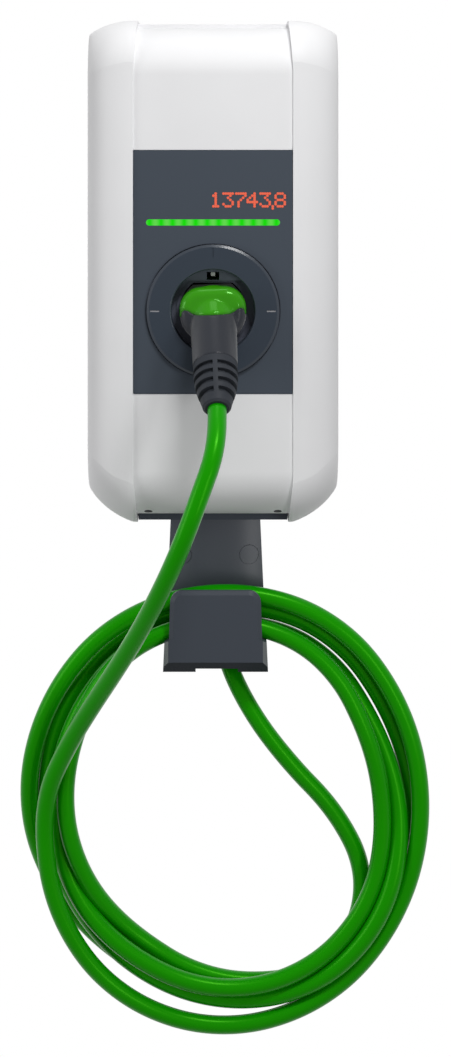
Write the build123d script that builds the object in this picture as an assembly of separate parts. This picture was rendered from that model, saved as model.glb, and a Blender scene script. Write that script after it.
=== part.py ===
from build123d import *
from math import cos, hypot, radians, sin, sqrt, tan
import os

# A wall charger for electric cars: a white moulded cover on a dark housing, a round dock in its
# dark front panel, a cable holder below it, and an attached charging cable that hangs in a coil
# on the holder with its connector parked in the dock.
# Millimetres. X to the right as seen from the front, +Y into the wall, +Z up.
# The origin is the middle of the four wall screw holes, on the plane of the wall.

# Cover
COVER_WIDTH = 247.6
COVER_HEIGHT = 495.0
COVER_DEPTH = 163.0
COVER_WALL = 3.0
COVER_REAR = 6.0
CHANNEL_WIDTH = 155.6
END_RADIUS = 48.0
END_LEAD = 0.3
WING_TOP_ANGLES = (0.0, 30.0)
WING_BOTTOM_ANGLES = (17.0, 50.0)
CHANNEL_DEPTH = 2.0
CHANNEL_TOP_DROP = 7.6
CHANNEL_BOTTOM_DROP = 8.3
CHANNEL_TAPER = 3.8
CHANNEL_TAPER_LENGTH = 48.0
BROW_DROP = 2.7
BROW_SETBACK = 63.0

# Front panel and what shows in it
PANEL_HEIGHT = 237.0
PANEL_MIDDLE_Z = 1.2
PANEL_THICKNESS = 2.6
PANEL_PROUD = 0.3
PANEL_CORNER = 1.5
PANEL_CLEARANCE = 0.2
PANEL_LEDGE = 5.0
PANEL_LEDGE_THICKNESS = 3.0
LIGHT_LENGTH = 130.0
LIGHT_HEIGHT = 5.8
LIGHT_Z = 49.3
LIGHT_CLEARANCE = 0.15
LIGHT_DEPTH = 5.0
LIGHT_FOOT_LIP = 3.0
LIGHT_FOOT = 2.0
LIGHT_BOARD_HEIGHT = 12.0
LAMP_SIZE = 3.6
LIGHT_COUNT = 11
LIGHT_PITCH = 11.8
READOUT_X = 34.5
READOUT_Z = 70.6
READOUT_WIDTH = 76.0
READOUT_HEIGHT = 20.0
READOUT_SKIN = 1.0
MODULE_DEPTH = 6.0
BOARD_THICKNESS = 1.6

# Dock
DOCK_Z = -36.6
DOCK_RADIUS = 64.5
DOCK_GAP = 1.0
DOCK_PROUD = 5.0
DOCK_BEVEL = 2.4
DOCK_BEVEL_DEPTH = 1.1
DOCK_MOUTH_RADIUS = 40.5
DOCK_MOUTH_ROUND = 1.5
TICK_LENGTH = 9.0
TICK_WIDTH = 1.5
TICK_DEPTH = 0.6
TICK_INSET = 3.4
CUP_WALL = 2.5
CUP_FLANGE_RADIUS = 69.5
CUP_FLANGE = 3.0
CUP_DEPTH = 14.0
COLLAR_REACH = 1.3
COLLAR_WALL = 3.0
SLOT_WIDTH = 12.0
SLOT_HEIGHT = 7.8
SLOT_RISE = 33.6
PAD_REACH = 9.0
CATCH_WIDTH = 4.0
CATCH_THICKNESS = 2.0

# Vehicle connector
NOSE_RADIUS = 31.5
NOSE_FLAT = 25.5
NOSE_WALL = 2.5
NOSE_LENGTH = 44.0
NOSE_CLEARANCE = 1.2
NOSE_TIP_GAP = 3.0
CARRIER_CLEARANCE = 0.1
CARRIER_RECESS = 4.0
CONNECTOR_ROLL = -2.5
HEAD_WIDTH = 64.4
HEAD_TOP = 24.0
HEAD_BOTTOM = 31.0
HEAD_CORNER = 21.0
HEAD_DEPTH = 32.0
HEAD_ROUND = 9.0
CAP_PARTING = -2.2
CHEEK_RISE = 5.0
CAP_JOINT = 0.25
GRIP_LEAN = 40.0
BOOT_END_LEAN = 46.0
GRIP_LENGTH = 54.5
GRIP_TOP_WIDTH = 46.5
GRIP_END_WIDTH = 42.8
GRIP_TOP_THICKNESS = 42.0
GRIP_END_THICKNESS = 41.0
GRIP_START_DROP = 8.0
GRIP_START_REACH = 22.0
GRIP_ROOT = 26.0
BOOT_LENGTH = 51.5
BOOT_SHAPE = [(0.0, 20.9), (16.8, 21.0), (27.0, 19.8), (33.8, 18.2), (42.3, 15.5), (49.3, 13.7)]
BOOT_RIM = 2.6
BOOT_SLOT_HEIGHT = 5.0
BOOT_SLOT_DEPTH = 3.4
BOOT_SLOT_PITCH = 9.7
BOOT_SLOT_START = 7.6
BOOT_SLOT_ROWS = 4
BOOT_SPINE = 4.6
GRIP_SCREW_RADIUS = 1.8
GRIP_SCREW_LENGTH = 14.0
THREAD_CLEARANCE = 0.05

# Contacts: how far right and up of the connector's middle, and their bores
POWER_BORE = 6.0
SIGNAL_BORE = 3.0
SLEEVE_WALL = 1.0
SLEEVE_CLEARANCE = 0.05
POWER_PLACES = [(0, 0), (-17, 0), (17, 0), (-9, -14.5), (9, -14.5)]
SIGNAL_PLACES = [(-8, 13), (8, 13)]

# Housing behind the cover
BASE_SIDE_GAP = 4.3
BASE_TOP = 231.0
BASE_BOTTOM = -233.0
BASE_CORNER_RISE = 27.0
BASE_CORNER_RUN = 36.0
BASE_DEPTH = 62.0
BASE_WALL = 3.0
BASE_BACK = 3.5
TONGUE_WIDTH = 147.0
TONGUE_BOTTOM = -246.0
TONGUE_SETBACK = 49.0
WALL_HOLE_SPACING_X = 180.0
WALL_HOLE_SPACING_Z = 370.0
WALL_HOLE_RADIUS = 3.2
WALL_BOSS_RADIUS = 8.0
WALL_BOSS_HEIGHT = 4.0
SEAL_WIDTH = 3.0
SEAL_HEIGHT = 2.5

# Cover screws
COVER_SCREW_X = 63.5
COVER_SCREW_SETBACK = 29.0
COVER_SCREW_SEAT_Z = -230.0
COVER_SCREW_RADIUS = 2.0
SCREW_HEAD_RADIUS = 3.8
SCREW_HEAD_HEIGHT = 2.5
SCREW_CLEARANCE = 0.3
SCREW_LENGTH = 12.0
LUG_WIDTH = 14.0
LUG_HEIGHT = 10.0
LUG_GAP = 0.3

# What the housing holds
MAIN_BOARD_WIDTH = 170.0
MAIN_BOARD_HEIGHT = 190.0
MAIN_BOARD_Z = 95.0
MAIN_BOARD_STAND = 14.0
PILLAR_RADIUS = 4.5
PILLAR_INSET = 8.0
SUPPLY_PART = (42.0, 24.0, 38.0)
RELAY_PART = (30.0, 14.0, 30.0)
SHIELD_PART = (46.0, 3.0, 46.0)
PART_MARGIN = 15.0
PART_RISE = 40.0
CAN_RADIUS = 8.0
CAN_HEIGHT = 26.0
CAN_PITCH = 22.0
PLUG_SIZE = (22.0, 12.0, 14.0)
PLUG_COUNT = 4
PLUG_MARGIN = 6.0
BOARD_SCREW_RADIUS = 1.5
BOARD_SCREW_HEAD = 3.2
CONTACTOR_SIZE = (56.0, 58.0, 84.0)
CONTACTOR_SIDE_GAP = 16.5
CONTACTOR_Z = -126.0
CONTACTOR_STEP = 14.0
CONTACTOR_STEP_DEPTH = 18.0
CONTACTOR_POLES = 4
CLAMP_RADIUS = 3.2
TERMINAL_SIZE = (78.0, 40.0, 30.0)
TERMINAL_X = 38.0
TERMINAL_Z = -192.0
TERMINAL_POLES = 5
TERMINAL_BORE = 3.5
TERMINAL_WIRE_DEPTH = 14.0
TERMINAL_SCREW_DROP = 8.0
TERMINAL_COVER_WALL = 1.8
TERMINAL_COVER_GAP = 0.3
SENSOR_OUTER = 20.0
SENSOR_BORE = 10.0
SENSOR_HEIGHT = 18.0
SENSOR_SIDE_GAP = 18.5
SENSOR_Z = -120.0
GROMMET_FROM_SENSOR = 38.0
GROMMET_Z = -130.0
GROMMET_BORE = 9.0
GROMMET_NECK = 13.0
GROMMET_FLANGE = 16.5
GROMMET_LIP = 2.5

# Charging cable and its outlet
CABLE_RADIUS = 9.0
CABLE_JOINT = 0.3
CABLE_GRIP = 30.0
OUTLET_X = 2.5
OUTLET_Y = -31.0
GLAND_THREAD_RADIUS = 12.5
GLAND_HEX_RADIUS = 16.0
GLAND_HEX_HEIGHT = 8.0
GLAND_DOME_HEIGHT = 12.0
GLAND_NUT_HEIGHT = 6.0
GLAND_CLEARANCE = 0.2

# Cable holder
HOLDER_X = 2.5
HOLDER_TOP = -246.3
HOLDER_BOTTOM = -397.0
HOLDER_TOP_WIDTH = 90.0
HOLDER_BOTTOM_WIDTH = 104.0
HOLDER_WALL = 3.0
NECK_DEPTH = 62.0
NECK_BULGE = 9.0
NECK_CORNER = 8.0
TROUGH_WIDTH = 54.0
SADDLE_TOP = -353.0
SADDLE_RADIUS = 100.0
PLATE_THICKNESS = 8.0
PLATE_TOP = -315.0
PLATE_TOP_WIDTH = 89.0
PLATE_BOTTOM_WIDTH = 93.4
PLATE_CORNER = 12.0
PLATE_BEVEL = 4.2
PLATE_BEVEL_DEPTH = 3.0
CHIN_HEIGHT = 11.5
CHIN_DEPTH = 12.0
NOTCH_WIDTH = 42.0
NOTCH_X = 3.8
NOTCH_HEIGHT = 4.0
HOLDER_SCREW_SPACING = 68.0
HOLDER_SCREW_Z = -289.0
HOLDER_SCREW_RADIUS = 2.8
SCREW_TUBE_RADIUS = 12.0
SCREW_TUBE_FLOOR = 4.0
CAP_RADIUS = 9.5
CAP_CLEARANCE = 0.3
CAP_THICKNESS = 4.0

# Coil of the cable on the holder
COIL_OUTER = (204.0, 226.0)
COIL_OUTER_MIDDLE = (13.0, -539.0)
COIL_INNER = (148.5, 173.3)
COIL_INNER_MIDDLE = (8.0, -525.3)
COIL_FRONT = -113.5
COIL_REAR = -66.5
COIL_ROUND = 9.0

# The cable's points where it isn't coiled, chosen by hand
RISER_POINTS = [
    (4.3, -259.4, -140.7),
    (0.6, -274.2, -164.4),
    (-9.8, -283.3, -194.0),
    (-21.9, -284.5, -227.0),
    (-35.6, -275.0, -262.5),
    (-52.6, -255.0, -301.0),
    (-70.8, -229.0, -338.0),
    (-92.6, -201.0, -377.0),
    (-117.6, -171.0, -419.0),
    (-139.1, -147.5, -457.0),
    (-158.7, -132.0, -498.0),
    (-170.0, -121.5, -542.0),
]
TAIL_POINTS = [
    (2.5, -31.0, -236.0),
    (2.5, -31.0, -283.0),
    (3.2, -36.0, -330.5),
    (7.2, -51.5, -368.0),
    (15.4, -69.5, -397.6),
    (29.7, -82.0, -427.4),
    (52.2, -88.5, -462.2),
    (83.2, -90.5, -499.2),
    (112.7, -90.0, -531.2),
    (132.5, -88.5, -561.5),
    (139.2, -87.5, -582.0),
]

os.makedirs("parts", exist_ok=True)

# Places that follow from the sizes
CREASE_X = CHANNEL_WIDTH / 2
WING_WIDTH = COVER_WIDTH / 2 - CREASE_X
FRONT_Y = -COVER_DEPTH
CORNER_Y = FRONT_Y + WING_WIDTH
HALF_HEIGHT = COVER_HEIGHT / 2
CHANNEL_Y = FRONT_Y + CHANNEL_DEPTH
PANEL_FACE_Y = CHANNEL_Y - PANEL_PROUD
PANEL_BACK_Y = PANEL_FACE_Y + PANEL_THICKNESS
PANEL_WIDTH = 2 * (CREASE_X - PANEL_CLEARANCE)
LEDGE_BACK_Y = PANEL_BACK_Y + PANEL_LEDGE_THICKNESS
DOCK_FACE_Y = CHANNEL_Y - DOCK_PROUD
CUP_FLOOR_Y = PANEL_BACK_Y + CUP_DEPTH
COLLAR_MOUTH_Y = CUP_FLOOR_Y - COLLAR_REACH
NOSE_BACK_Y = COLLAR_MOUTH_Y - 4.0
NOSE_TIP_Y = NOSE_BACK_Y + NOSE_LENGTH
TROUGH_BACK_Y = -NECK_DEPTH
TROUGH_FRONT_Y = TROUGH_BACK_Y - TROUGH_WIDTH
PLATE_FACE_Y = TROUGH_FRONT_Y - PLATE_THICKNESS
BASE_WIDTH = COVER_WIDTH - 2 * BASE_SIDE_GAP
BASE_INNER_X = BASE_WIDTH / 2 - BASE_WALL
TONGUE_REACH = COVER_DEPTH - TONGUE_SETBACK
COVER_SCREW_Y = FRONT_Y + COVER_SCREW_SETBACK
CONTACTOR_X = -(BASE_INNER_X - CONTACTOR_SIDE_GAP - CONTACTOR_SIZE[0] / 2)
SENSOR_X = BASE_INNER_X - SENSOR_SIDE_GAP - SENSOR_OUTER
GROMMET_X = SENSOR_X - GROMMET_FROM_SENSOR


def block(x0, x1, y0, y1, z0, z1):
    """A straight block between two corners."""
    middle = Pos((x0 + x1) / 2, (y0 + y1) / 2, (z0 + z1) / 2)
    return middle * Box(x1 - x0, y1 - y0, z1 - z0)


def rod_y(radius, y0, y1, x, z):
    """A round bar along Y."""
    return Pos(x, (y0 + y1) / 2, z) * Rot(90, 0, 0) * Cylinder(radius, y1 - y0)


def rod_z(radius, z0, z1, x, y):
    """A round bar along Z."""
    return Pos(x, y, (z0 + z1) / 2) * Cylinder(radius, z1 - z0)


def outline(points, radii):
    """A closed flat outline with a rounding for each corner."""
    return make_face(FilletPolyline(*points, radius=radii, close=True))


def along_x(points, radii, x0, x1):
    """An outline given as (y, z), carried from x0 to x1."""
    face = Plane.YZ.offset(x0) * outline(points, radii)
    return extrude(face, x1 - x0)


def along_y(points, radii, y0, y1):
    """An outline given as (x, z), carried from y0 to y1."""
    face = Plane.XZ.offset(-y1) * outline(points, radii)
    return extrude(face, y1 - y0)


def save(shape, node):
    """Writes one piece."""
    export_step(shape, f"parts/{node}.step")


# Cover: two wings and the channel between them
def end_rise(across, angles):
    """How far a wing's end has fallen back at a distance outwards from the crease.

    The end is one arc, whose slope grows from the first angle to the second across the wing.
    """
    first = sin(radians(angles[0]))
    last = sin(radians(angles[1]))
    radius = WING_WIDTH / (last - first)
    slope = first + across / radius
    return radius * (cos(radians(angles[0])) - sqrt(1 - slope * slope))


def end_section(turn, inset, side, angles):
    """The flat section of the space beyond a wing's rounded end, at a turn round the corner."""
    reach = WING_WIDTH - inset
    x = CREASE_X + reach * sin(radians(turn))
    y = CORNER_Y - reach * cos(radians(turn)) - END_LEAD
    z = HALF_HEIGHT - inset - end_rise(x - CREASE_X, angles)
    radius = END_RADIUS - inset
    start = (y, z - radius)
    middle = (y + radius * (1 - cos(radians(45))), z - radius * (1 - sin(radians(45))))
    end = (y + radius, z)
    far = 60.0
    lines = [
        Line(end, (far, z)),
        Line((far, z), (far, z + far)),
        Line((far, z + far), (-COVER_DEPTH - far, z + far)),
        Line((-COVER_DEPTH - far, z + far), (-COVER_DEPTH - far, z - radius)),
        Line((-COVER_DEPTH - far, z - radius), start),
    ]
    face = make_face([ThreePointArc(start, middle, end)] + lines)
    if side < 0:
        face = mirror(face, Plane.XZ)
    return Plane.YZ.offset(x) * face


def wing_end(inset, side, angles):
    """The space beyond a wing's top or bottom end, from inside the crease to past the side."""
    turns = (0, 18, 36, 54, 72, 90)
    sections = [end_section(turn, inset, side, angles) for turn in turns]
    past = extrude(sections[-1], 2 * COVER_WALL, dir=(1, 0, 0))
    inner = extrude(sections[0], CREASE_X, dir=(-1, 0, 0))
    return [loft(sections), past, inner]


def full_body(inset):
    """The cover's outer form as if the wings met in the middle, drawn in by an inset."""
    half = COVER_WIDTH / 2 - inset
    rear = -COVER_REAR if inset == 0 else 0.0
    reach = WING_WIDTH - inset
    corners = [(-half, rear), (half, rear), (half, FRONT_Y + inset), (-half, FRONT_Y + inset)]
    plan = outline(corners, [0, 0, reach, reach])
    body = Pos(0, 0, -HALF_HEIGHT) * extrude(plan, COVER_HEIGHT)
    for side, angles in ((1, WING_TOP_ANGLES), (-1, WING_BOTTOM_ANGLES)):
        for space in wing_end(inset, side, angles):
            body -= space
            body -= mirror(space, Plane.YZ)
    return body


def channel_space(inset):
    """What is taken out between the wings, in front of and beyond the lower centre."""
    half = CREASE_X + inset
    narrow = half - CHANNEL_TAPER
    bend = HALF_HEIGHT - CHANNEL_TAPER_LENGTH
    far = HALF_HEIGHT + COVER_WALL
    corners = [(half, bend), (narrow, far), (-narrow, far), (-half, bend)]
    corners += [(-half, -bend), (-narrow, -far), (narrow, -far), (half, -bend)]
    space = along_y(corners, [0] * 8, FRONT_Y - COVER_WALL, 0.0)
    top = HALF_HEIGHT - CHANNEL_TOP_DROP - inset
    brow = HALF_HEIGHT - BROW_DROP - inset
    bottom = -HALF_HEIGHT + CHANNEL_BOTTOM_DROP + inset
    front = CHANNEL_Y + inset
    round_end = END_RADIUS - CHANNEL_DEPTH - inset
    brow_y = FRONT_Y + BROW_SETBACK + inset
    centre = [(10, brow), (brow_y, brow), (brow_y, top)]
    centre += [(front, top), (front, bottom), (10, bottom)]
    radii = [0, 0, 0, round_end, round_end, 0]
    return space - along_x(centre, radii, -COVER_WIDTH / 2, COVER_WIDTH / 2)


def seal_land():
    """The flange inside the cover that presses on the housing's seal."""
    back = -BASE_DEPTH - SEAL_HEIGHT
    room = full_body(COVER_WALL - 0.5) - channel_space(COVER_WALL - 0.5)
    land = room & block(-COVER_WIDTH, COVER_WIDTH, back - COVER_WALL, back, -COVER_HEIGHT, COVER_HEIGHT)
    points, radii = base_outline(SEAL_WIDTH)
    return land - along_y(points, radii, back - 2 * COVER_WALL, 0)


def screw_boss(side):
    """The thick spot of the cover under one cover screw."""
    top = COVER_SCREW_SEAT_Z + COVER_WALL
    return rod_z(SCREW_HEAD_RADIUS + COVER_WALL, -HALF_HEIGHT, top, side * COVER_SCREW_X, COVER_SCREW_Y)


def front_cover():
    """The white cover: one moulding with a seat for the panel and two screw bosses."""
    outer = full_body(0) - channel_space(0)
    shell = outer - (full_body(COVER_WALL) - channel_space(COVER_WALL))
    low = PANEL_MIDDLE_Z - PANEL_HEIGHT / 2
    high = PANEL_MIDDLE_Z + PANEL_HEIGHT / 2
    pad = PANEL_LEDGE_THICKNESS
    shell += seal_land()
    shell += block(-CREASE_X, CREASE_X, CHANNEL_Y + 1, LEDGE_BACK_Y, low - pad, high + pad)
    for side in (-1, 1):
        shell += screw_boss(side) & outer
    clear = PANEL_CLEARANCE
    shell -= block(-CREASE_X, CREASE_X, FRONT_Y, PANEL_BACK_Y, low - clear, high + clear)
    window = CREASE_X - PANEL_LEDGE
    shell -= block(-window, window, FRONT_Y, 0, low + PANEL_LEDGE, high - PANEL_LEDGE)
    tongue = TONGUE_WIDTH / 2 + 2 * PANEL_CLEARANCE
    shell -= block(-tongue, tongue, -TONGUE_REACH - 2, 10, -HALF_HEIGHT, -HALF_HEIGHT + 20)
    for side in (-1, 1):
        x = side * COVER_SCREW_X
        shell -= rod_z(COVER_SCREW_RADIUS + SCREW_CLEARANCE, -HALF_HEIGHT, -200, x, COVER_SCREW_Y)
        head = SCREW_HEAD_RADIUS + SCREW_CLEARANCE
        shell -= rod_z(head, -HALF_HEIGHT, COVER_SCREW_SEAT_Z, x, COVER_SCREW_Y)
    return shell


def cover_screws():
    """Two screws that go up through the cover into the housing's lugs."""
    screws = []
    for side in (-1, 1):
        x = side * COVER_SCREW_X
        head_low = COVER_SCREW_SEAT_Z - SCREW_HEAD_HEIGHT
        top = COVER_SCREW_SEAT_Z + SCREW_LENGTH
        head = rod_z(SCREW_HEAD_RADIUS, head_low, COVER_SCREW_SEAT_Z, x, COVER_SCREW_Y)
        shank = rod_z(COVER_SCREW_RADIUS, COVER_SCREW_SEAT_Z - 1, top, x, COVER_SCREW_Y)
        drive = Pos(x, COVER_SCREW_Y, head_low) * extrude(RegularPolygon(1.8, 6), 1.5)
        screws.append(head + shank - drive)
    return Compound(children=screws)


# Front panel and its lights
def light_bar(length, height, y0, y1):
    """A flat bar with round ends, lying along X at the light's height."""
    bar = Plane.XZ.offset(-y1) * Pos(0, LIGHT_Z) * SlotOverall(length, height)
    return extrude(bar, y1 - y0)


def front_panel():
    """The dark inlay with the dock opening, the light slot and a thinned window behind."""
    low = PANEL_MIDDLE_Z - PANEL_HEIGHT / 2
    high = PANEL_MIDDLE_Z + PANEL_HEIGHT / 2
    half = PANEL_WIDTH / 2
    corners = [(-half, low), (half, low), (half, high), (-half, high)]
    panel = along_y(corners, [PANEL_CORNER] * 4, PANEL_FACE_Y, PANEL_BACK_Y)
    panel -= rod_y(DOCK_RADIUS + DOCK_GAP, PANEL_FACE_Y - 1, PANEL_BACK_Y + 1, 0, DOCK_Z)
    clear = 2 * LIGHT_CLEARANCE
    panel -= light_bar(LIGHT_LENGTH + clear, LIGHT_HEIGHT + clear, PANEL_FACE_Y - 1, PANEL_BACK_Y + 1)
    x0 = READOUT_X - READOUT_WIDTH / 2
    z0 = READOUT_Z - READOUT_HEIGHT / 2
    pocket = PANEL_FACE_Y + READOUT_SKIN
    return panel - block(x0, x0 + READOUT_WIDTH, pocket, 0, z0, z0 + READOUT_HEIGHT)


def status_light_guide():
    """The clear bar that carries the light to the front, with a foot behind the panel."""
    guide = light_bar(LIGHT_LENGTH, LIGHT_HEIGHT, PANEL_FACE_Y - 0.1, PANEL_BACK_Y + 0.5)
    lip = 2 * LIGHT_FOOT_LIP
    foot = light_bar(LIGHT_LENGTH + lip, LIGHT_HEIGHT + lip, PANEL_BACK_Y, PANEL_BACK_Y + LIGHT_FOOT)
    return guide + foot


def status_light_board():
    """A strip board with one small lamp for each spot of the bar."""
    front = PANEL_BACK_Y + LIGHT_FOOT
    board_y = PANEL_BACK_Y + LIGHT_DEPTH
    half = LIGHT_LENGTH / 2
    rise = LIGHT_BOARD_HEIGHT / 2
    lamp = LAMP_SIZE / 2
    board = block(-half, half, board_y, board_y + BOARD_THICKNESS, LIGHT_Z - rise, LIGHT_Z + rise)
    for index in range(LIGHT_COUNT):
        x = (index - (LIGHT_COUNT - 1) / 2) * LIGHT_PITCH
        board += block(x - lamp, x + lamp, front, board_y, LIGHT_Z - lamp, LIGHT_Z + lamp)
    return board


def display_module():
    """The readout's lamp block in the panel's pocket, on its own board."""
    x0 = READOUT_X - READOUT_WIDTH / 2 + PANEL_CLEARANCE
    x1 = READOUT_X + READOUT_WIDTH / 2 - PANEL_CLEARANCE
    z0 = READOUT_Z - READOUT_HEIGHT / 2 + PANEL_CLEARANCE
    z1 = READOUT_Z + READOUT_HEIGHT / 2 - PANEL_CLEARANCE
    front = PANEL_FACE_Y + READOUT_SKIN
    module = block(x0, x1, front, front + MODULE_DEPTH, z0, z1)
    board_y = front + MODULE_DEPTH
    edge = (CREASE_X - PANEL_LEDGE) - 0.5
    return module + block(x0 - 6, edge, board_y, board_y + BOARD_THICKNESS, z0 - 1, z1 + 4)


# Dock
def flat_top_round(radius, flat):
    """A circle with a flat across its top, about the dock's middle."""
    disc = Pos(0, DOCK_Z) * Circle(radius)
    lid = Pos(0, DOCK_Z + flat + radius) * Rectangle(2 * radius, 2 * radius)
    return disc - lid


def flat_top_bar(radius, flat, y0, y1):
    """The flat-topped round carried along Y."""
    return extrude(Plane.XZ.offset(-y1) * flat_top_round(radius, flat), y1 - y0)


def dock_ring():
    """The round disc on the panel, with a bevelled rim and its tick grooves."""
    ring = rod_y(DOCK_RADIUS, DOCK_FACE_Y, PANEL_BACK_Y, 0, DOCK_Z)
    face = ring.faces().sort_by(Axis.Y)[0]
    ring = chamfer(face.edges(), DOCK_BEVEL, DOCK_BEVEL_DEPTH, reference=face)
    ring -= rod_y(DOCK_MOUTH_RADIUS, DOCK_FACE_Y - 1, PANEL_BACK_Y + 1, 0, DOCK_Z)
    mouth = ring.edges().filter_by(GeomType.CIRCLE).sort_by(Axis.Y).group_by(Axis.Y)[0].sort_by(SortBy.LENGTH)[0]
    ring = fillet(mouth, DOCK_MOUTH_ROUND)
    outer = DOCK_RADIUS - TICK_INSET
    floor = DOCK_FACE_Y + TICK_DEPTH
    half = TICK_WIDTH / 2
    ring -= block(-half, half, DOCK_FACE_Y - 1, floor, DOCK_Z + outer - TICK_LENGTH, DOCK_Z + outer)
    for side in (-1, 1):
        near = side * (outer - TICK_LENGTH)
        far = side * outer
        x0 = min(near, far)
        ring -= block(x0, x0 + TICK_LENGTH, DOCK_FACE_Y - 1, floor, DOCK_Z - half, DOCK_Z + half)
    return ring


def dock_cup():
    """The recess behind the disc: a cup whose floor carries the connector's collar."""
    cup_radius = DOCK_MOUTH_RADIUS + CUP_WALL
    sleeve_radius = NOSE_RADIUS + NOSE_CLEARANCE
    sleeve_flat = NOSE_FLAT + NOSE_CLEARANCE
    sleeve_end = NOSE_TIP_Y + NOSE_TIP_GAP
    cup = rod_y(CUP_FLANGE_RADIUS, PANEL_BACK_Y, PANEL_BACK_Y + CUP_FLANGE, 0, DOCK_Z)
    cup += rod_y(cup_radius, PANEL_BACK_Y, CUP_FLOOR_Y + CUP_WALL, 0, DOCK_Z)
    cup -= rod_y(DOCK_MOUTH_RADIUS, PANEL_BACK_Y - 1, CUP_FLOOR_Y, 0, DOCK_Z)
    collar = (sleeve_radius + COLLAR_WALL, sleeve_flat + COLLAR_WALL)
    cup += flat_top_bar(*collar, COLLAR_MOUTH_Y, sleeve_end + COLLAR_WALL)
    low = DOCK_Z + sleeve_flat + COLLAR_WALL - 0.5
    wide = DOCK_MOUTH_RADIUS + 0.5
    pad = block(-wide, wide, CUP_FLOOR_Y - PAD_REACH, CUP_FLOOR_Y, low, DOCK_Z + wide)
    cup += pad & rod_y(DOCK_MOUTH_RADIUS + 0.5, CUP_FLOOR_Y - PAD_REACH, CUP_FLOOR_Y, 0, DOCK_Z)
    cup -= flat_top_bar(sleeve_radius, sleeve_flat, COLLAR_MOUTH_Y - 1, sleeve_end)
    slot_z = DOCK_Z + SLOT_RISE - SLOT_HEIGHT / 2
    half = SLOT_WIDTH / 2
    return cup - block(-half, half, CUP_FLOOR_Y - PAD_REACH - 1, 0, slot_z, slot_z + SLOT_HEIGHT)


def dock_catch():
    """The spring tongue in the slot, with its foot on the cup's floor."""
    top = DOCK_Z + SLOT_RISE + SLOT_HEIGHT / 2
    half = CATCH_WIDTH / 2
    tip = CUP_FLOOR_Y - PAD_REACH + 2.5
    back = CUP_FLOOR_Y + CUP_WALL
    tongue = block(-half, half, tip, back + 2, top - CATCH_THICKNESS - 0.5, top - 0.5)
    nib = block(-half, half, tip, tip + 2, top - 2 * CATCH_THICKNESS, top - CATCH_THICKNESS)
    foot = block(-half, half, back, back + 2, top - CATCH_THICKNESS - 0.5, top + 2)
    return tongue + nib + foot


# Vehicle connector
def rolled(shape):
    """The small lean that the connector takes in its dock."""
    return Pos(0, 0, DOCK_Z) * Rot(0, CONNECTOR_ROLL, 0) * Pos(0, 0, -DOCK_Z) * shape


def connector_nose():
    """The round shroud with its flat top, and the flange that the grip closes on."""
    nose = flat_top_bar(NOSE_RADIUS, NOSE_FLAT, NOSE_BACK_Y, NOSE_TIP_Y)
    inner = (NOSE_RADIUS - NOSE_WALL, NOSE_FLAT - NOSE_WALL)
    return nose - flat_top_bar(*inner, NOSE_BACK_Y - 1, NOSE_TIP_Y + 1)


def contact_places():
    """Each contact's place and bore."""
    places = [(x, z, POWER_BORE / 2) for x, z in POWER_PLACES]
    places += [(x, z, SIGNAL_BORE / 2) for x, z in SIGNAL_PLACES]
    return places


def contact_carrier():
    """The insulating insert with a hole for each contact."""
    shrink = NOSE_WALL + CARRIER_CLEARANCE
    tip = NOSE_TIP_Y - CARRIER_RECESS
    carrier = flat_top_bar(NOSE_RADIUS - shrink, NOSE_FLAT - shrink, NOSE_BACK_Y, tip)
    for x, z, bore in contact_places():
        hole = bore + SLEEVE_WALL + SLEEVE_CLEARANCE
        carrier -= rod_y(hole, NOSE_BACK_Y - 1, tip + 1, x, DOCK_Z + z)
    return carrier


def contact_sleeves():
    """Metal sleeves in the carrier's holes, open towards the car's pins."""
    tip = NOSE_TIP_Y - CARRIER_RECESS
    sleeves = []
    for x, z, bore in contact_places():
        sleeve = rod_y(bore + SLEEVE_WALL, NOSE_BACK_Y, tip - 1, x, DOCK_Z + z)
        sleeves.append(rolled(sleeve - rod_y(bore, NOSE_BACK_Y + 8, tip, x, DOCK_Z + z)))
    return Compound(children=sleeves)


def grip_plane(distance):
    """The plane across the grip's axis, which runs straight down the grip and bends in the boot."""
    lean = radians(GRIP_LEAN)
    straight = min(distance, GRIP_LENGTH)
    y = NOSE_BACK_Y - GRIP_START_REACH - straight * sin(lean)
    z = DOCK_Z - GRIP_START_DROP - straight * cos(lean)
    past = distance - straight
    if past > 0:
        bend = radians(BOOT_END_LEAN - GRIP_LEAN) / BOOT_LENGTH
        end = lean + bend * past
        y -= (cos(lean) - cos(end)) / bend
        z -= (sin(end) - sin(lean)) / bend
        lean = end
    return Plane(origin=(0, y, z), x_dir=(1, 0, 0), z_dir=(0, -sin(lean), -cos(lean)))


def head_form():
    """The connector's rounded head, seen from the front as a wide flat-topped round."""
    half = HEAD_WIDTH / 2
    top = DOCK_Z + HEAD_TOP
    low = DOCK_Z - HEAD_BOTTOM
    corners = [(-half, low), (half, low), (half, top), (-half, top)]
    radii = [half - 2, half - 2, HEAD_CORNER, HEAD_CORNER]
    head = along_y(corners, radii, NOSE_BACK_Y - HEAD_DEPTH, NOSE_BACK_Y)
    front = head.edges().group_by(Axis.Y)[0]
    return fillet(front, HEAD_ROUND)


def grip_form():
    """The grip: an oval that thins towards the boot."""
    sections = []
    steps = (
        (-GRIP_ROOT, GRIP_TOP_WIDTH, GRIP_TOP_THICKNESS),
        (GRIP_LENGTH / 2, (GRIP_TOP_WIDTH + GRIP_END_WIDTH) / 2 - 0.8, GRIP_TOP_THICKNESS),
        (GRIP_LENGTH, GRIP_END_WIDTH, GRIP_END_THICKNESS),
    )
    for distance, width, thickness in steps:
        sections.append(grip_plane(distance) * Ellipse(width / 2, thickness / 2))
    return loft(sections)


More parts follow.
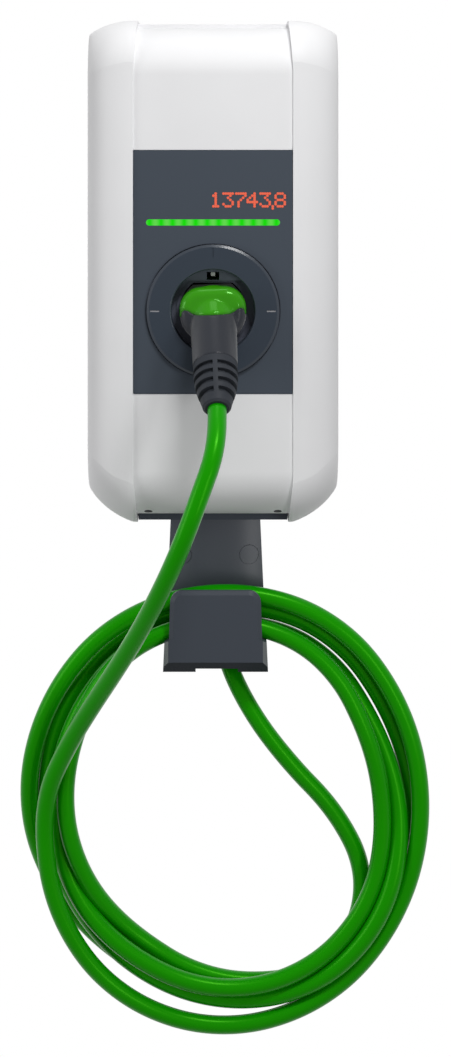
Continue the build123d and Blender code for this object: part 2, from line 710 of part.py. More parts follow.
def cap_zone(gap):
    """Everything above the line where the hood meets the grip, which rises over both cheeks."""
    low = DOCK_Z + CAP_PARTING + gap
    top = low + HEAD_WIDTH
    half = HEAD_WIDTH / 2
    right = [(half - 17, low), (half - 13, low + 0.16 * CHEEK_RISE), (half - 8, low + 0.85 * CHEEK_RISE)]
    right += [(half - 4.5, low + CHEEK_RISE), (half - 2.2, low + 0.6 * CHEEK_RISE)]
    right += [(half - 1.4, low - 0.3 * CHEEK_RISE), (HEAD_WIDTH, low - 0.3 * CHEEK_RISE), (HEAD_WIDTH, top)]
    left = [(-x, z) for x, z in reversed(right)]
    far = NOSE_BACK_Y - 2 * HEAD_DEPTH
    return along_y(left + right, [0] * 16, far, NOSE_BACK_Y + 1)


def in_front_of_nose():
    """All the room in front of the nose's flange."""
    half = 2 * HEAD_WIDTH
    far = NOSE_BACK_Y - 2 * (GRIP_LENGTH + BOOT_LENGTH)
    low = DOCK_Z - 2 * (GRIP_LENGTH + BOOT_LENGTH)
    return block(-half, half, far, NOSE_BACK_Y, low, DOCK_Z + half)


def handle_screw_places():
    """Where the two screws hold the grip on the nose."""
    return [(-19.0, -27.0), (19.0, -27.0)]


def handle_shell():
    """The dark grip with its cheeks, under the hood, and bored for the cable."""
    shell = (head_form() + grip_form()) - cap_zone(0)
    shell -= cable_end()
    shell = shell & in_front_of_nose()
    for x, z in handle_screw_places():
        reach = NOSE_BACK_Y - GRIP_SCREW_LENGTH - 1
        hole = GRIP_SCREW_RADIUS + THREAD_CLEARANCE
        shell -= rod_y(hole, reach, NOSE_BACK_Y + 1, x, DOCK_Z + z)
    return shell


def handle_cap():
    """The green hood over the elbow, which closes the head from above."""
    return (head_form() + grip_form()) & cap_zone(CAP_JOINT) & in_front_of_nose()


def handle_screws():
    """Two screws from the nose's rear into the grip."""
    screws = []
    for x, z in handle_screw_places():
        tip = NOSE_BACK_Y - GRIP_SCREW_LENGTH
        screws.append(rolled(rod_y(GRIP_SCREW_RADIUS, tip, NOSE_BACK_Y, x, DOCK_Z + z)))
    return Compound(children=screws)


def boot_radius(distance):
    """The boot's radius at a distance below the grip."""
    for (d0, r0), (d1, r1) in zip(BOOT_SHAPE, BOOT_SHAPE[1:]):
        if distance <= d1:
            return r0 + (r1 - r0) * (distance - d0) / (d1 - d0)
    return BOOT_SHAPE[-1][1]


def cable_boot():
    """The ribbed strain relief: a barrel with rows of slots on either side of a spine."""
    rings = [grip_plane(GRIP_LENGTH + place) * Circle(radius) for place, radius in BOOT_SHAPE]
    mouth = grip_plane(GRIP_LENGTH + BOOT_LENGTH) * Circle(CABLE_RADIUS + BOOT_RIM)
    boot = loft(rings) + loft([rings[-1], mouth])
    for row in range(BOOT_SLOT_ROWS):
        middle = BOOT_SLOT_START + row * BOOT_SLOT_PITCH + BOOT_SLOT_HEIGHT / 2
        radius = boot_radius(middle)
        outer = Cylinder(radius + 4, BOOT_SLOT_HEIGHT)
        core = Cylinder(radius - BOOT_SLOT_DEPTH, 2 * BOOT_SLOT_HEIGHT)
        spine = Box(BOOT_SPINE, 4 * radius, 4 * BOOT_SLOT_HEIGHT)
        boot -= grip_plane(GRIP_LENGTH + middle).location * (outer - core - spine)
    return boot - cable_end()


def cable_end():
    """The end of the charging cable, through the boot and into the grip."""
    start = grip_plane(GRIP_LENGTH - CABLE_GRIP)
    bend = [grip_plane(GRIP_LENGTH + share * BOOT_LENGTH).origin for share in (0, 0.5, 1)]
    path = Line(start.origin, bend[0]) + ThreePointArc(*bend)
    return sweep(start * Circle(CABLE_RADIUS), path=path)


# Housing
def base_outline(inset):
    """The housing's outline from the front, drawn in by an inset."""
    half = BASE_WIDTH / 2 - inset
    top = BASE_TOP - inset
    low = BASE_BOTTOM + inset
    run = BASE_CORNER_RUN
    rise = BASE_CORNER_RISE
    points = [(half, top), (-half, top), (-half, low + rise), (-half + run, low)]
    points += [(half - run, low), (half, low + rise)]
    return points, [10 - inset, 10 - inset, 8, 8, 8, 8]


def lug(side):
    """A lug on the housing's tongue that takes a cover screw."""
    x = side * COVER_SCREW_X
    half = LUG_WIDTH / 2
    low = COVER_SCREW_SEAT_Z + COVER_WALL + LUG_GAP
    arm = block(x - half, x + half, COVER_SCREW_Y - half, -TONGUE_REACH + 6, low, low + LUG_HEIGHT)
    web = block(x - half, x + half, -TONGUE_REACH, -TONGUE_REACH + 6, TONGUE_BOTTOM + 1, low + LUG_HEIGHT)
    bore = rod_z(COVER_SCREW_RADIUS, low - 1, low + LUG_HEIGHT - 1, x, COVER_SCREW_Y)
    return arm + web - bore


def board_places():
    """The main board's four pillars."""
    dx = MAIN_BOARD_WIDTH / 2 - PILLAR_INSET
    dz = MAIN_BOARD_HEIGHT / 2 - PILLAR_INSET
    return [(x, MAIN_BOARD_Z + z) for x in (-dx, dx) for z in (-dz, dz)]


def wall_hole_places():
    """The four wall screw holes about the origin."""
    dx = WALL_HOLE_SPACING_X / 2
    dz = WALL_HOLE_SPACING_Z / 2
    return [(x, z) for x in (-dx, dx) for z in (-dz, dz)]


def base_housing():
    """The dark tray on the wall, with a tongue that shows below the cover."""
    points, radii = base_outline(0)
    base = along_y(points, radii, -BASE_DEPTH, 0)
    half = TONGUE_WIDTH / 2
    base += block(-half, half, -TONGUE_REACH, 0, TONGUE_BOTTOM, BASE_BOTTOM + BASE_WALL)
    points, radii = base_outline(BASE_WALL)
    base -= along_y(points, radii, -TONGUE_REACH - 1, -BASE_BACK)
    half -= BASE_WALL
    front = -TONGUE_REACH + BASE_WALL
    base -= block(-half, half, front, -BASE_BACK, TONGUE_BOTTOM + BASE_WALL, BASE_BOTTOM + 20)
    for side in (-1, 1):
        base += lug(side)
    for x, z in board_places():
        base += rod_y(PILLAR_RADIUS, -BASE_BACK - MAIN_BOARD_STAND, -BASE_BACK, x, z)
        base -= rod_y(BOARD_SCREW_RADIUS, -BASE_BACK - MAIN_BOARD_STAND - 1, -BASE_BACK - 4, x, z)
    for x, z in wall_hole_places():
        base += rod_y(WALL_BOSS_RADIUS, -BASE_BACK - WALL_BOSS_HEIGHT, -BASE_BACK, x, z)
        base -= rod_y(WALL_HOLE_RADIUS, -BASE_BACK - WALL_BOSS_HEIGHT - 1, 1, x, z)
    base -= rod_y(GROMMET_NECK, -BASE_BACK - 1, 1, GROMMET_X, GROMMET_Z)
    bore = GLAND_THREAD_RADIUS + GLAND_CLEARANCE
    return base - rod_z(bore, TONGUE_BOTTOM - 1, TONGUE_BOTTOM + BASE_WALL + 1, OUTLET_X, OUTLET_Y)


def cover_seal():
    """The rubber seal that lies on the housing's rim."""
    outer_points, outer_radii = base_outline(0)
    inner_points, inner_radii = base_outline(SEAL_WIDTH)
    front = -BASE_DEPTH - SEAL_HEIGHT
    seal = along_y(outer_points, outer_radii, front, -BASE_DEPTH)
    seal -= along_y(inner_points, inner_radii, front - 1, -BASE_DEPTH + 1)
    half = TONGUE_WIDTH / 2 + 1
    return seal - block(-half, half, front - 1, -BASE_DEPTH + 1, TONGUE_BOTTOM, BASE_BOTTOM + 5)


# What the housing holds
def main_board():
    """The control board with its larger parts, on four pillars."""
    back = -BASE_BACK - MAIN_BOARD_STAND
    half = MAIN_BOARD_WIDTH / 2
    low = MAIN_BOARD_Z - MAIN_BOARD_HEIGHT / 2
    high = MAIN_BOARD_Z + MAIN_BOARD_HEIGHT / 2
    front = back - BOARD_THICKNESS
    board = block(-half, half, front, back, low, high)
    left = -half + PART_MARGIN + SUPPLY_PART[0] / 2
    right = half - PART_MARGIN - SHIELD_PART[0] / 2
    for x, (width, depth, height) in ((left, SUPPLY_PART), (0, RELAY_PART), (right, SHIELD_PART)):
        z = MAIN_BOARD_Z + PART_RISE
        board += block(x - width / 2, x + width / 2, front - depth, front, z, z + height)
    for index in range(3):
        x = left + (index - 0.5) * CAN_PITCH
        board += rod_y(CAN_RADIUS, front - CAN_HEIGHT, front, x, MAIN_BOARD_Z + PART_MARGIN)
    width, depth, height = PLUG_SIZE
    span = MAIN_BOARD_WIDTH - 2 * (PILLAR_INSET + PLUG_MARGIN)
    for index in range(PLUG_COUNT):
        x = ((index + 0.5) / PLUG_COUNT - 0.5) * span
        z = low + PLUG_MARGIN
        board += block(x - width / 2, x + width / 2, front - depth, front, z, z + height)
    for x, z in board_places():
        board -= rod_y(BOARD_SCREW_RADIUS + SCREW_CLEARANCE, front - 1, back + 1, x, z)
    return board


def board_screws():
    """The four screws of the main board."""
    face = -BASE_BACK - MAIN_BOARD_STAND - BOARD_THICKNESS
    screws = []
    for x, z in board_places():
        head = rod_y(BOARD_SCREW_HEAD, face - 2, face, x, z)
        shank = rod_y(BOARD_SCREW_RADIUS, face - 1, -BASE_BACK - 5, x, z)
        screws.append(head + shank)
    return Compound(children=screws)


def contactor():
    """The switching block, with its screw clamps along the top and the bottom."""
    width, depth, height = CONTACTOR_SIZE
    x0 = CONTACTOR_X - width / 2
    z0 = CONTACTOR_Z - height / 2
    body = block(x0, x0 + width, -BASE_BACK - depth, -BASE_BACK, z0, z0 + height)
    step = CONTACTOR_STEP
    front = -BASE_BACK - depth
    shelf = front + CONTACTOR_STEP_DEPTH
    for z in (z0, z0 + height - step):
        body -= block(x0 - 1, x0 + width + 1, front - 1, shelf, z - 0.01, z + step + 0.01)
        for pole in range(CONTACTOR_POLES):
            x = x0 + (pole + 0.5) * width / CONTACTOR_POLES
            body -= rod_y(CLAMP_RADIUS, shelf - 1, shelf + step, x, z + step / 2)
    return body


def terminal_block():
    """The supply terminals: a row of poles with a wire bore and a screw well each."""
    width, depth, height = TERMINAL_SIZE
    x0 = TERMINAL_X - width / 2
    z0 = TERMINAL_Z - height / 2
    body = block(x0, x0 + width, -BASE_BACK - depth, -BASE_BACK, z0, z0 + height)
    for pole in range(TERMINAL_POLES):
        x = x0 + (pole + 0.5) * width / TERMINAL_POLES
        y = -BASE_BACK - depth / 2
        body -= rod_z(TERMINAL_BORE, z0 + height - TERMINAL_WIRE_DEPTH, z0 + height + 1, x, y)
        body -= rod_y(TERMINAL_BORE, -BASE_BACK - depth - 1, y, x, z0 + height - TERMINAL_SCREW_DROP)
    return body


def terminal_cover():
    """The touch guard over the terminals, open towards the wires."""
    width, depth, height = TERMINAL_SIZE
    gap = TERMINAL_COVER_GAP
    wall = TERMINAL_COVER_WALL
    x0 = TERMINAL_X - width / 2 - gap
    x1 = TERMINAL_X + width / 2 + gap
    z0 = TERMINAL_Z - height / 2
    top = z0 + height
    front = -BASE_BACK - depth - gap
    guard = block(x0 - wall, x1 + wall, front - wall, -BASE_BACK, z0, top)
    return guard - block(x0, x1, front, 0, z0 - 1, top + 1)


def current_sensor():
    """The ring that watches the supply wires for a fault current."""
    y0 = -BASE_BACK - SENSOR_HEIGHT
    ring = rod_y(SENSOR_OUTER, y0, -BASE_BACK, SENSOR_X, SENSOR_Z)
    return ring - rod_y(SENSOR_BORE, y0 - 1, 0, SENSOR_X, SENSOR_Z)


def supply_grommet():
    """The rubber entry for the supply cable, in the housing's back."""
    face = -BASE_BACK
    grommet = rod_y(GROMMET_FLANGE, face - GROMMET_LIP, face, GROMMET_X, GROMMET_Z)
    grommet += rod_y(GROMMET_NECK, face - 1, -0.2, GROMMET_X, GROMMET_Z)
    return grommet - rod_y(GROMMET_BORE, face - GROMMET_LIP - 1, 1, GROMMET_X, GROMMET_Z)


def outlet_gland():
    """The gland under the housing that grips the charging cable."""
    face = TONGUE_BOTTOM
    place = Pos(OUTLET_X, OUTLET_Y, face - GLAND_HEX_HEIGHT)
    gland = place * extrude(RegularPolygon(GLAND_HEX_RADIUS, 6), GLAND_HEX_HEIGHT)
    dome_low = face - GLAND_HEX_HEIGHT - GLAND_DOME_HEIGHT
    dome = Pos(OUTLET_X, OUTLET_Y, dome_low + GLAND_DOME_HEIGHT / 2)
    gland += dome * Cone(CABLE_RADIUS + 2.5, GLAND_THREAD_RADIUS + 1, GLAND_DOME_HEIGHT)
    top = face + BASE_WALL + GLAND_NUT_HEIGHT + 1
    gland += rod_z(GLAND_THREAD_RADIUS, face - 1, top, OUTLET_X, OUTLET_Y)
    return gland - rod_z(CABLE_RADIUS, dome_low - 1, top + 1, OUTLET_X, OUTLET_Y)


def outlet_gland_nut():
    """The nut on the gland, inside the housing."""
    place = Pos(OUTLET_X, OUTLET_Y, TONGUE_BOTTOM + BASE_WALL)
    nut = place * extrude(RegularPolygon(GLAND_HEX_RADIUS, 6), GLAND_NUT_HEIGHT)
    return nut - rod_z(GLAND_THREAD_RADIUS, TONGUE_BOTTOM, TONGUE_BOTTOM + 30, OUTLET_X, OUTLET_Y)


# Cable holder
def flare(inset):
    """The holder's sides from the front: wider towards the bottom."""
    top = HOLDER_TOP_WIDTH / 2 - inset
    low = HOLDER_BOTTOM_WIDTH / 2 - inset
    points = [(HOLDER_X - top, HOLDER_TOP), (HOLDER_X + top, HOLDER_TOP)]
    points += [(HOLDER_X + low, HOLDER_BOTTOM), (HOLDER_X - low, HOLDER_BOTTOM)]
    return along_y(points, [0] * 4, -200, 10)


def neck(inset):
    """The upright duct with its bulged front, before its sides are flared."""
    half = HOLDER_BOTTOM_WIDTH / 2 - inset
    side_y = -NECK_DEPTH + NECK_BULGE + inset
    front_y = -NECK_DEPTH + inset
    bulge = ThreePointArc((-half, side_y), (0, front_y), (half, side_y))
    lines = Polyline((half, side_y), (half, 5), (-half, 5), (-half, side_y))
    plan = make_face([bulge, lines])
    height = HOLDER_TOP - HOLDER_BOTTOM
    return Pos(HOLDER_X, 0, HOLDER_BOTTOM) * extrude(plan, height)


def arm(inset):
    """The block below the saddle, crowned on top, with its bevelled chin."""
    back = TROUGH_BACK_Y + NECK_BULGE + 5
    front = PLATE_FACE_Y + inset
    chin = HOLDER_BOTTOM + CHIN_HEIGHT
    points = [(back, PLATE_TOP), (front, PLATE_TOP), (front, chin + inset * 0.4)]
    points += [(front + CHIN_DEPTH, HOLDER_BOTTOM), (back, HOLDER_BOTTOM)]
    form = along_x(points, [0] * 5, -100, 100)
    half = HOLDER_BOTTOM_WIDTH
    crown = SADDLE_RADIUS - inset
    round_top = rod_y(crown, -200, 0, HOLDER_X, SADDLE_TOP - SADDLE_RADIUS)
    return form & round_top & block(-half, half, -200, 0, HOLDER_BOTTOM, PLATE_TOP)


def side_bevel(side):
    """What is taken off the arm's front corner, beside the plate."""
    plate = HOLDER_X + side * PLATE_BOTTOM_WIDTH / 2
    past = HOLDER_X + side * (PLATE_BOTTOM_WIDTH / 2 + 2 * CHIN_DEPTH)
    points = [(plate, PLATE_FACE_Y), (past, PLATE_FACE_Y), (past, PLATE_FACE_Y + 2.4 * CHIN_DEPTH)]
    wedge = make_face(Polyline(*points, close=True))
    return Pos(0, 0, HOLDER_BOTTOM - 5) * extrude(wedge, 200)


def front_plate():
    """The upright plate that keeps the coil on the saddle."""
    top = PLATE_TOP_WIDTH / 2
    low = PLATE_BOTTOM_WIDTH / 2
    z_low = HOLDER_BOTTOM + CHIN_HEIGHT
    points = [(HOLDER_X - top, PLATE_TOP), (HOLDER_X + top, PLATE_TOP)]
    points += [(HOLDER_X + low, z_low), (HOLDER_X - low, z_low)]
    plate = along_y(points, [PLATE_CORNER, PLATE_CORNER, 0, 0], PLATE_FACE_Y, TROUGH_FRONT_Y)
    face = plate.faces().sort_by(Axis.Y)[0]
    rim = face.edges().filter_by(lambda e: e.center().Z > z_low + 5)
    return chamfer(rim, PLATE_BEVEL, PLATE_BEVEL_DEPTH, reference=face)


def holder_cavity():
    """The room inside the holder: the duct and the room under the saddle, open to the wall."""
    duct = neck(HOLDER_WALL)
    under = arm(HOLDER_WALL) & block(-100, 100, PLATE_FACE_Y + PLATE_THICKNESS, 0, -500, 0)
    room = (duct + under) & flare(HOLDER_WALL)
    return room + block(-30, 30, -NECK_DEPTH, 0, HOLDER_BOTTOM - 5, HOLDER_BOTTOM + 1)


def holder_screw_places():
    """The holder's two wall screws."""
    half = HOLDER_SCREW_SPACING / 2
    return [HOLDER_X - half, HOLDER_X + half]


def holder_body():
    """The holder: duct, saddle and front plate in one moulding, open towards the wall."""
    body = (neck(0) & block(-200, 200, -200, 0, -500, 0)) + arm(0)
    body = body & flare(0)
    for side in (-1, 1):
        body -= side_bevel(side)
    body += front_plate()
    body -= holder_cavity()
    for x in holder_screw_places():
        tube = rod_y(SCREW_TUBE_RADIUS, -NECK_DEPTH, -0.0, x, HOLDER_SCREW_Z)
        body += tube & neck(0) & flare(0) & block(-200, 200, -200, 0, -500, 0)
        body -= rod_y(CAP_RADIUS + CAP_CLEARANCE, -NECK_DEPTH - 5, -SCREW_TUBE_FLOOR, x, HOLDER_SCREW_Z)
        body -= rod_y(HOLDER_SCREW_RADIUS, -SCREW_TUBE_FLOOR - 1, 1, x, HOLDER_SCREW_Z)
    half = NOTCH_WIDTH / 2
    x0 = NOTCH_X - half
    notch = block(x0, x0 + NOTCH_WIDTH, -200, -30, HOLDER_BOTTOM - 1, HOLDER_BOTTOM + NOTCH_HEIGHT)
    return body - notch


def holder_caps():
    """The two round caps over the holder's wall screws, flush with the neck."""
    caps = []
    for x in holder_screw_places():
        plug = rod_y(CAP_RADIUS, -NECK_DEPTH - 5, -NECK_DEPTH + NECK_BULGE + CAP_THICKNESS, x, HOLDER_SCREW_Z)
        caps.append(plug & neck(-0.4))
    return Compound(children=caps)


# Charging cable
def arc_radii(points):
    """The radius of each corner: 0.45 of the shorter run, over the tangent of half the turn."""
    radii = []
    for before, corner, after in zip(points, points[1:], points[2:]):
        first = Vector(*corner) - Vector(*before)
        second = Vector(*after) - Vector(*corner)
        turn = radians(first.get_angle(second))
        radii.append(0.45 * min(first.length, second.length) / tan(turn / 2))
    return radii


def cable_tube(points, name):
    """A plain round cable along its route."""
    radii = arc_radii(points)
    print(name, "radii", [round(radius) for radius in radii])
    path = FilletPolyline(*points, radius=radii)
    start = Plane(origin=path @ 0, z_dir=path % 0)
    tube = sweep(start * Circle(CABLE_RADIUS), path=path)
    expected = 3.14159265 * CABLE_RADIUS ** 2 * path.length
    print(name, "length", round(path.length), "volume share", round(tube.volume / expected, 4))
    return tube


def riser_points():
    """The riser's points, from the boot's end down to the coil."""
    middle = Vector(0, 0, DOCK_Z)
    mouth = grip_plane(GRIP_LENGTH + BOOT_LENGTH + CABLE_JOINT).origin - middle
    start = mouth.rotate(Axis.Y, CONNECTOR_ROLL) + middle
    print("boot mouth", [round(value, 2) for value in start])
    return [tuple(start)] + RISER_POINTS


def cable_coil():
    """The coil's outer form: a ring of the bundle's size through the holder."""
    outer = Pos(*COIL_OUTER_MIDDLE) * Ellipse(*COIL_OUTER)
    inner = Pos(*COIL_INNER_MIDDLE) * Ellipse(*COIL_INNER)
    ring = extrude(Plane.XZ.offset(-COIL_REAR) * (outer - inner), COIL_REAR - COIL_FRONT)
    return fillet(ring.edges(), COIL_ROUND)


def build():
    """Makes and writes every piece."""
    save(front_cover(), "front_cover")
    save(cover_screws(), "cover_screws")
    save(front_panel(), "front_panel")
    save(status_light_guide(), "status_light_guide")
    save(status_light_board(), "status_light_board")
    save(display_module(), "display_module")
    save(dock_ring(), "dock_ring")
    save(dock_cup(), "dock_cup")
    save(dock_catch(), "dock_catch")
    save(rolled(connector_nose()), "connector_nose")
    save(rolled(contact_carrier()), "contact_carrier")
    save(contact_sleeves(), "contact_sleeves")
    save(rolled(handle_shell()), "handle_shell")
    save(rolled(handle_cap()), "handle_cap")
    save(handle_screws(), "handle_screws")
    save(rolled(cable_boot()), "cable_boot")
    save(rolled(cable_end()), "cable_end")
    save(base_housing(), "base_housing")
    save(cover_seal(), "cover_seal")
    save(main_board(), "main_board")
    save(board_screws(), "board_screws")
    save(contactor(), "contactor")
    save(terminal_block(), "terminal_block")
    save(terminal_cover(), "terminal_cover")
    save(current_sensor(), "current_sensor")
    save(supply_grommet(), "supply_grommet")
    save(outlet_gland(), "outlet_gland")
    save(outlet_gland_nut(), "outlet_gland_nut")
    save(holder_body(), "holder_body")
    save(holder_caps(), "holder_caps")
    save(cable_tube(riser_points(), "riser"), "cable_riser")
    save(cable_tube(TAIL_POINTS, "tail"), "cable_tail")
    save(cable_coil(), "cable_coil")


build()
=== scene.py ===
"""Looks of a wall charger for electric cars with a front dock and a coiled charging cable.

Metres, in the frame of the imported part: X to the right, +Y into the wall, +Z up.
The origin is the middle of the four wall screw holes, on the plane of the wall.
The charger's own sizes are millimetres, where a class says so, and MM turns them into metres.
"""

import logging
import math
from dataclasses import dataclass
from enum import Enum

import bpy
import numpy as np
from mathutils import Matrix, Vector

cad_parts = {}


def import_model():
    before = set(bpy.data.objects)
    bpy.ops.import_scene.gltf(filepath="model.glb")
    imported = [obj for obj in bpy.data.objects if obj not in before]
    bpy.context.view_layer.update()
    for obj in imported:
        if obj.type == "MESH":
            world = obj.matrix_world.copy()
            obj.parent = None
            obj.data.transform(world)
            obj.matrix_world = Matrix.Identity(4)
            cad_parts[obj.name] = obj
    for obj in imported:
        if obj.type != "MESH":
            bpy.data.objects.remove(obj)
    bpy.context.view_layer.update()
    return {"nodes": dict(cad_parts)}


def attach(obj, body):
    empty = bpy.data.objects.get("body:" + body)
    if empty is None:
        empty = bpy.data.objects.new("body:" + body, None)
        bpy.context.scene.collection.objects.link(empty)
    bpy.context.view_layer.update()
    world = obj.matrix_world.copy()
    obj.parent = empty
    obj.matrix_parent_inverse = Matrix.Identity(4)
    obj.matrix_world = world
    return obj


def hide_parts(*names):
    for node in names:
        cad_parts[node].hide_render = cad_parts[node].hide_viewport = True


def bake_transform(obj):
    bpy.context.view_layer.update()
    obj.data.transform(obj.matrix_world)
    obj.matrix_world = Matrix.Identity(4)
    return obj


log = logging.getLogger("wall_charger")

MM = 0.001
FULL_TURN = 360.0
DRIFT_SIZE = 60.0 * MM
SOFTEN_SAMPLES = 16
Colour = tuple[float, float, float]
Place = tuple[float, float, float]


# Helpers for materials
def new_material(name: str) -> tuple[bpy.types.Material, bpy.types.NodeTree, bpy.types.Node]:
    """Makes an empty material with one shader.

    Args:
        name: the material's name.

    Returns:
        The material, its node tree and its shader node.
    """
    material = bpy.data.materials.new(name)
    material.use_nodes = True
    tree = material.node_tree
    shader = tree.nodes["Principled BSDF"]
    return material, tree, shader


def new_glow(name: str) -> tuple[bpy.types.Material, bpy.types.NodeTree, bpy.types.Node]:
    """Makes a material that throws nothing back and gives off light, so far of no colour.

    Args:
        name: the material's name.

    Returns:
        The material, its node tree and its shader node.
    """
    material, tree, shader = new_material(name)
    shader.inputs["Base Color"].default_value = (0.0, 0.0, 0.0, 1.0)
    shader.inputs["Specular IOR Level"].default_value = 0.0
    shader.inputs["Emission Strength"].default_value = 1.0
    return material, tree, shader


def object_point(tree: bpy.types.NodeTree) -> bpy.types.NodeSocket:
    """Gives the socket with the shaded point's place in the piece."""
    return tree.nodes.new("ShaderNodeTexCoord").outputs["Object"]


def add_noise(tree: bpy.types.NodeTree, size: float) -> bpy.types.NodeSocket:
    """Lays a soft noise over the piece.

    Args:
        tree: the material's node tree.
        size: how far apart its bumps are, in metres.

    Returns:
        The socket with the noise, from 0 to 1.
    """
    noise = tree.nodes.new("ShaderNodeTexNoise")
    noise.inputs["Scale"].default_value = 1.0 / size
    tree.links.new(object_point(tree), noise.inputs["Vector"])
    return noise.outputs["Fac"]


def add_mix(
    tree: bpy.types.NodeTree, share: bpy.types.NodeSocket, low: Colour, high: Colour
) -> bpy.types.NodeSocket:
    """Mixes two colours.

    Args:
        tree: the material's node tree.
        share: the socket that says how much of the second colour there is.
        low: the colour where the share is 0.
        high: the colour where it is 1.

    Returns:
        The socket with the mixed colour.
    """
    mix = tree.nodes.new("ShaderNodeMix")
    mix.data_type = "RGBA"
    mix.inputs["A"].default_value = (*low, 1.0)
    mix.inputs["B"].default_value = (*high, 1.0)
    tree.links.new(share, mix.inputs["Factor"])
    return mix.outputs["Result"]


def add_grain(tree: bpy.types.NodeTree, shader: bpy.types.Node, size: float, height: float) -> None:
    """Gives a shader the fine texture of a surface, on top of the normal that it has by now.

    Args:
        tree: the material's node tree.
        shader: the shader whose normal takes the bumps.
        size: how far apart the bumps are, in metres.
        height: how high they are, in metres.
    """
    bump = tree.nodes.new("ShaderNodeBump")
    bump.inputs["Distance"].default_value = height
    tree.links.new(add_noise(tree, size), bump.inputs["Height"])
    for link in shader.inputs["Normal"].links:
        tree.links.new(link.from_socket, bump.inputs["Normal"])
    tree.links.new(bump.outputs["Normal"], shader.inputs["Normal"])


def add_drift(tree: bpy.types.NodeTree, shader: bpy.types.Node, colour: Colour, share: float) -> None:
    """Lets a shader's colour drift slowly over the piece, as moulded plastic does.

    The colour is mixed between a darker and a paler one by a noise of the drift's size.

    Args:
        tree: the material's node tree.
        shader: the shader whose colour drifts.
        colour: the middle colour.
        share: how much paler and darker it gets.
    """
    darker = tuple((1.0 - share) * value for value in colour)
    paler = tuple((1.0 + share) * value for value in colour)
    drifting = add_mix(tree, add_noise(tree, DRIFT_SIZE), darker, paler)
    tree.links.new(drifting, shader.inputs["Base Color"])


# Finishes
@dataclass(frozen=True)
class Plastic:
    """A moulded plastic.

    It has a roughness, a share of mirror with a tint, a fine texture, a soft sheen at grazing
    angles, edges that shade as if rounded, and a colour that drifts by a small share.
    The texture's size and height and the rounding of the edges are in metres.
    """

    name: str
    colour: Colour
    roughness: float
    mirror: float
    grain_size: float = 0.0
    grain_height: float = 0.0
    tint: Colour = (1.0, 1.0, 1.0)
    sheen: float = 0.0
    soften: float = 0.0
    drift: float = 0.03

    def material(self) -> bpy.types.Material:
        """Makes the finish as a material.

        Returns:
            The material.
        """
        material, tree, shader = new_material(self.name)
        add_drift(tree, shader, self.colour, self.drift)
        shader.inputs["Roughness"].default_value = self.roughness
        shader.inputs["Specular IOR Level"].default_value = self.mirror
        shader.inputs["Specular Tint"].default_value = (*self.tint, 1.0)
        shader.inputs["Sheen Weight"].default_value = self.sheen
        if self.soften > 0.0:
            bevel = tree.nodes.new("ShaderNodeBevel")
            bevel.samples = SOFTEN_SAMPLES
            bevel.inputs["Radius"].default_value = self.soften
            tree.links.new(bevel.outputs["Normal"], shader.inputs["Normal"])
        if self.grain_size > 0.0:
            add_grain(tree, shader, self.grain_size, self.grain_height)
        return material


@dataclass(frozen=True)
class Metal:
    """A bare metal: its colour, how rough it is, its fine texture in metres and its drift."""

    name: str
    colour: Colour
    roughness: float
    grain_size: float = 0.0004
    grain_height: float = 0.00001
    drift: float = 0.05

    def material(self) -> bpy.types.Material:
        """Makes the finish as a material.

        Returns:
            The material.
        """
        material, tree, shader = new_material(self.name)
        add_drift(tree, shader, self.colour, self.drift)
        shader.inputs["Metallic"].default_value = 1.0
        shader.inputs["Roughness"].default_value = self.roughness
        add_grain(tree, shader, self.grain_size, self.grain_height)
        return material


@dataclass(frozen=True)
class Glow:
    """A surface that gives off light of one colour."""

    name: str
    colour: Colour

    def material(self) -> bpy.types.Material:
        """Makes the finish as a material.

        Returns:
            The material.
        """
        material, _, shader = new_glow(self.name)
        shader.inputs["Emission Color"].default_value = (*self.colour, 1.0)
        return material


@dataclass(frozen=True)
class SpottedGlow:
    """A light bar whose glow is stronger in front of each lamp behind it.

    The pitch is how far apart the lamps are, in metres.
    """

    name: str
    between: Colour
    spot: Colour
    pitch: float

    def material(self) -> bpy.types.Material:
        """Makes the finish as a material.

        The share of the spot's colour is half of one plus the cosine of the place along X, one
        wave to a pitch: 0 halfway between two lamps and 1 in front of one.

        Returns:
            The material.
        """
        material, tree, shader = new_glow(self.name)
        split = tree.nodes.new("ShaderNodeSeparateXYZ")
        turn = tree.nodes.new("ShaderNodeMath")
        turn.operation = "MULTIPLY"
        turn.inputs[1].default_value = 2.0 * math.pi / self.pitch
        wave = tree.nodes.new("ShaderNodeMath")
        wave.operation = "COSINE"
        share = tree.nodes.new("ShaderNodeMapRange")
        share.inputs["From Min"].default_value = -1.0
        tree.links.new(object_point(tree), split.inputs["Vector"])
        tree.links.new(split.outputs["X"], turn.inputs[0])
        tree.links.new(turn.outputs["Value"], wave.inputs[0])
        tree.links.new(wave.outputs["Value"], share.inputs["Value"])
        glow = add_mix(tree, share.outputs["Result"], self.between, self.spot)
        tree.links.new(glow, shader.inputs["Emission Color"])
        return material


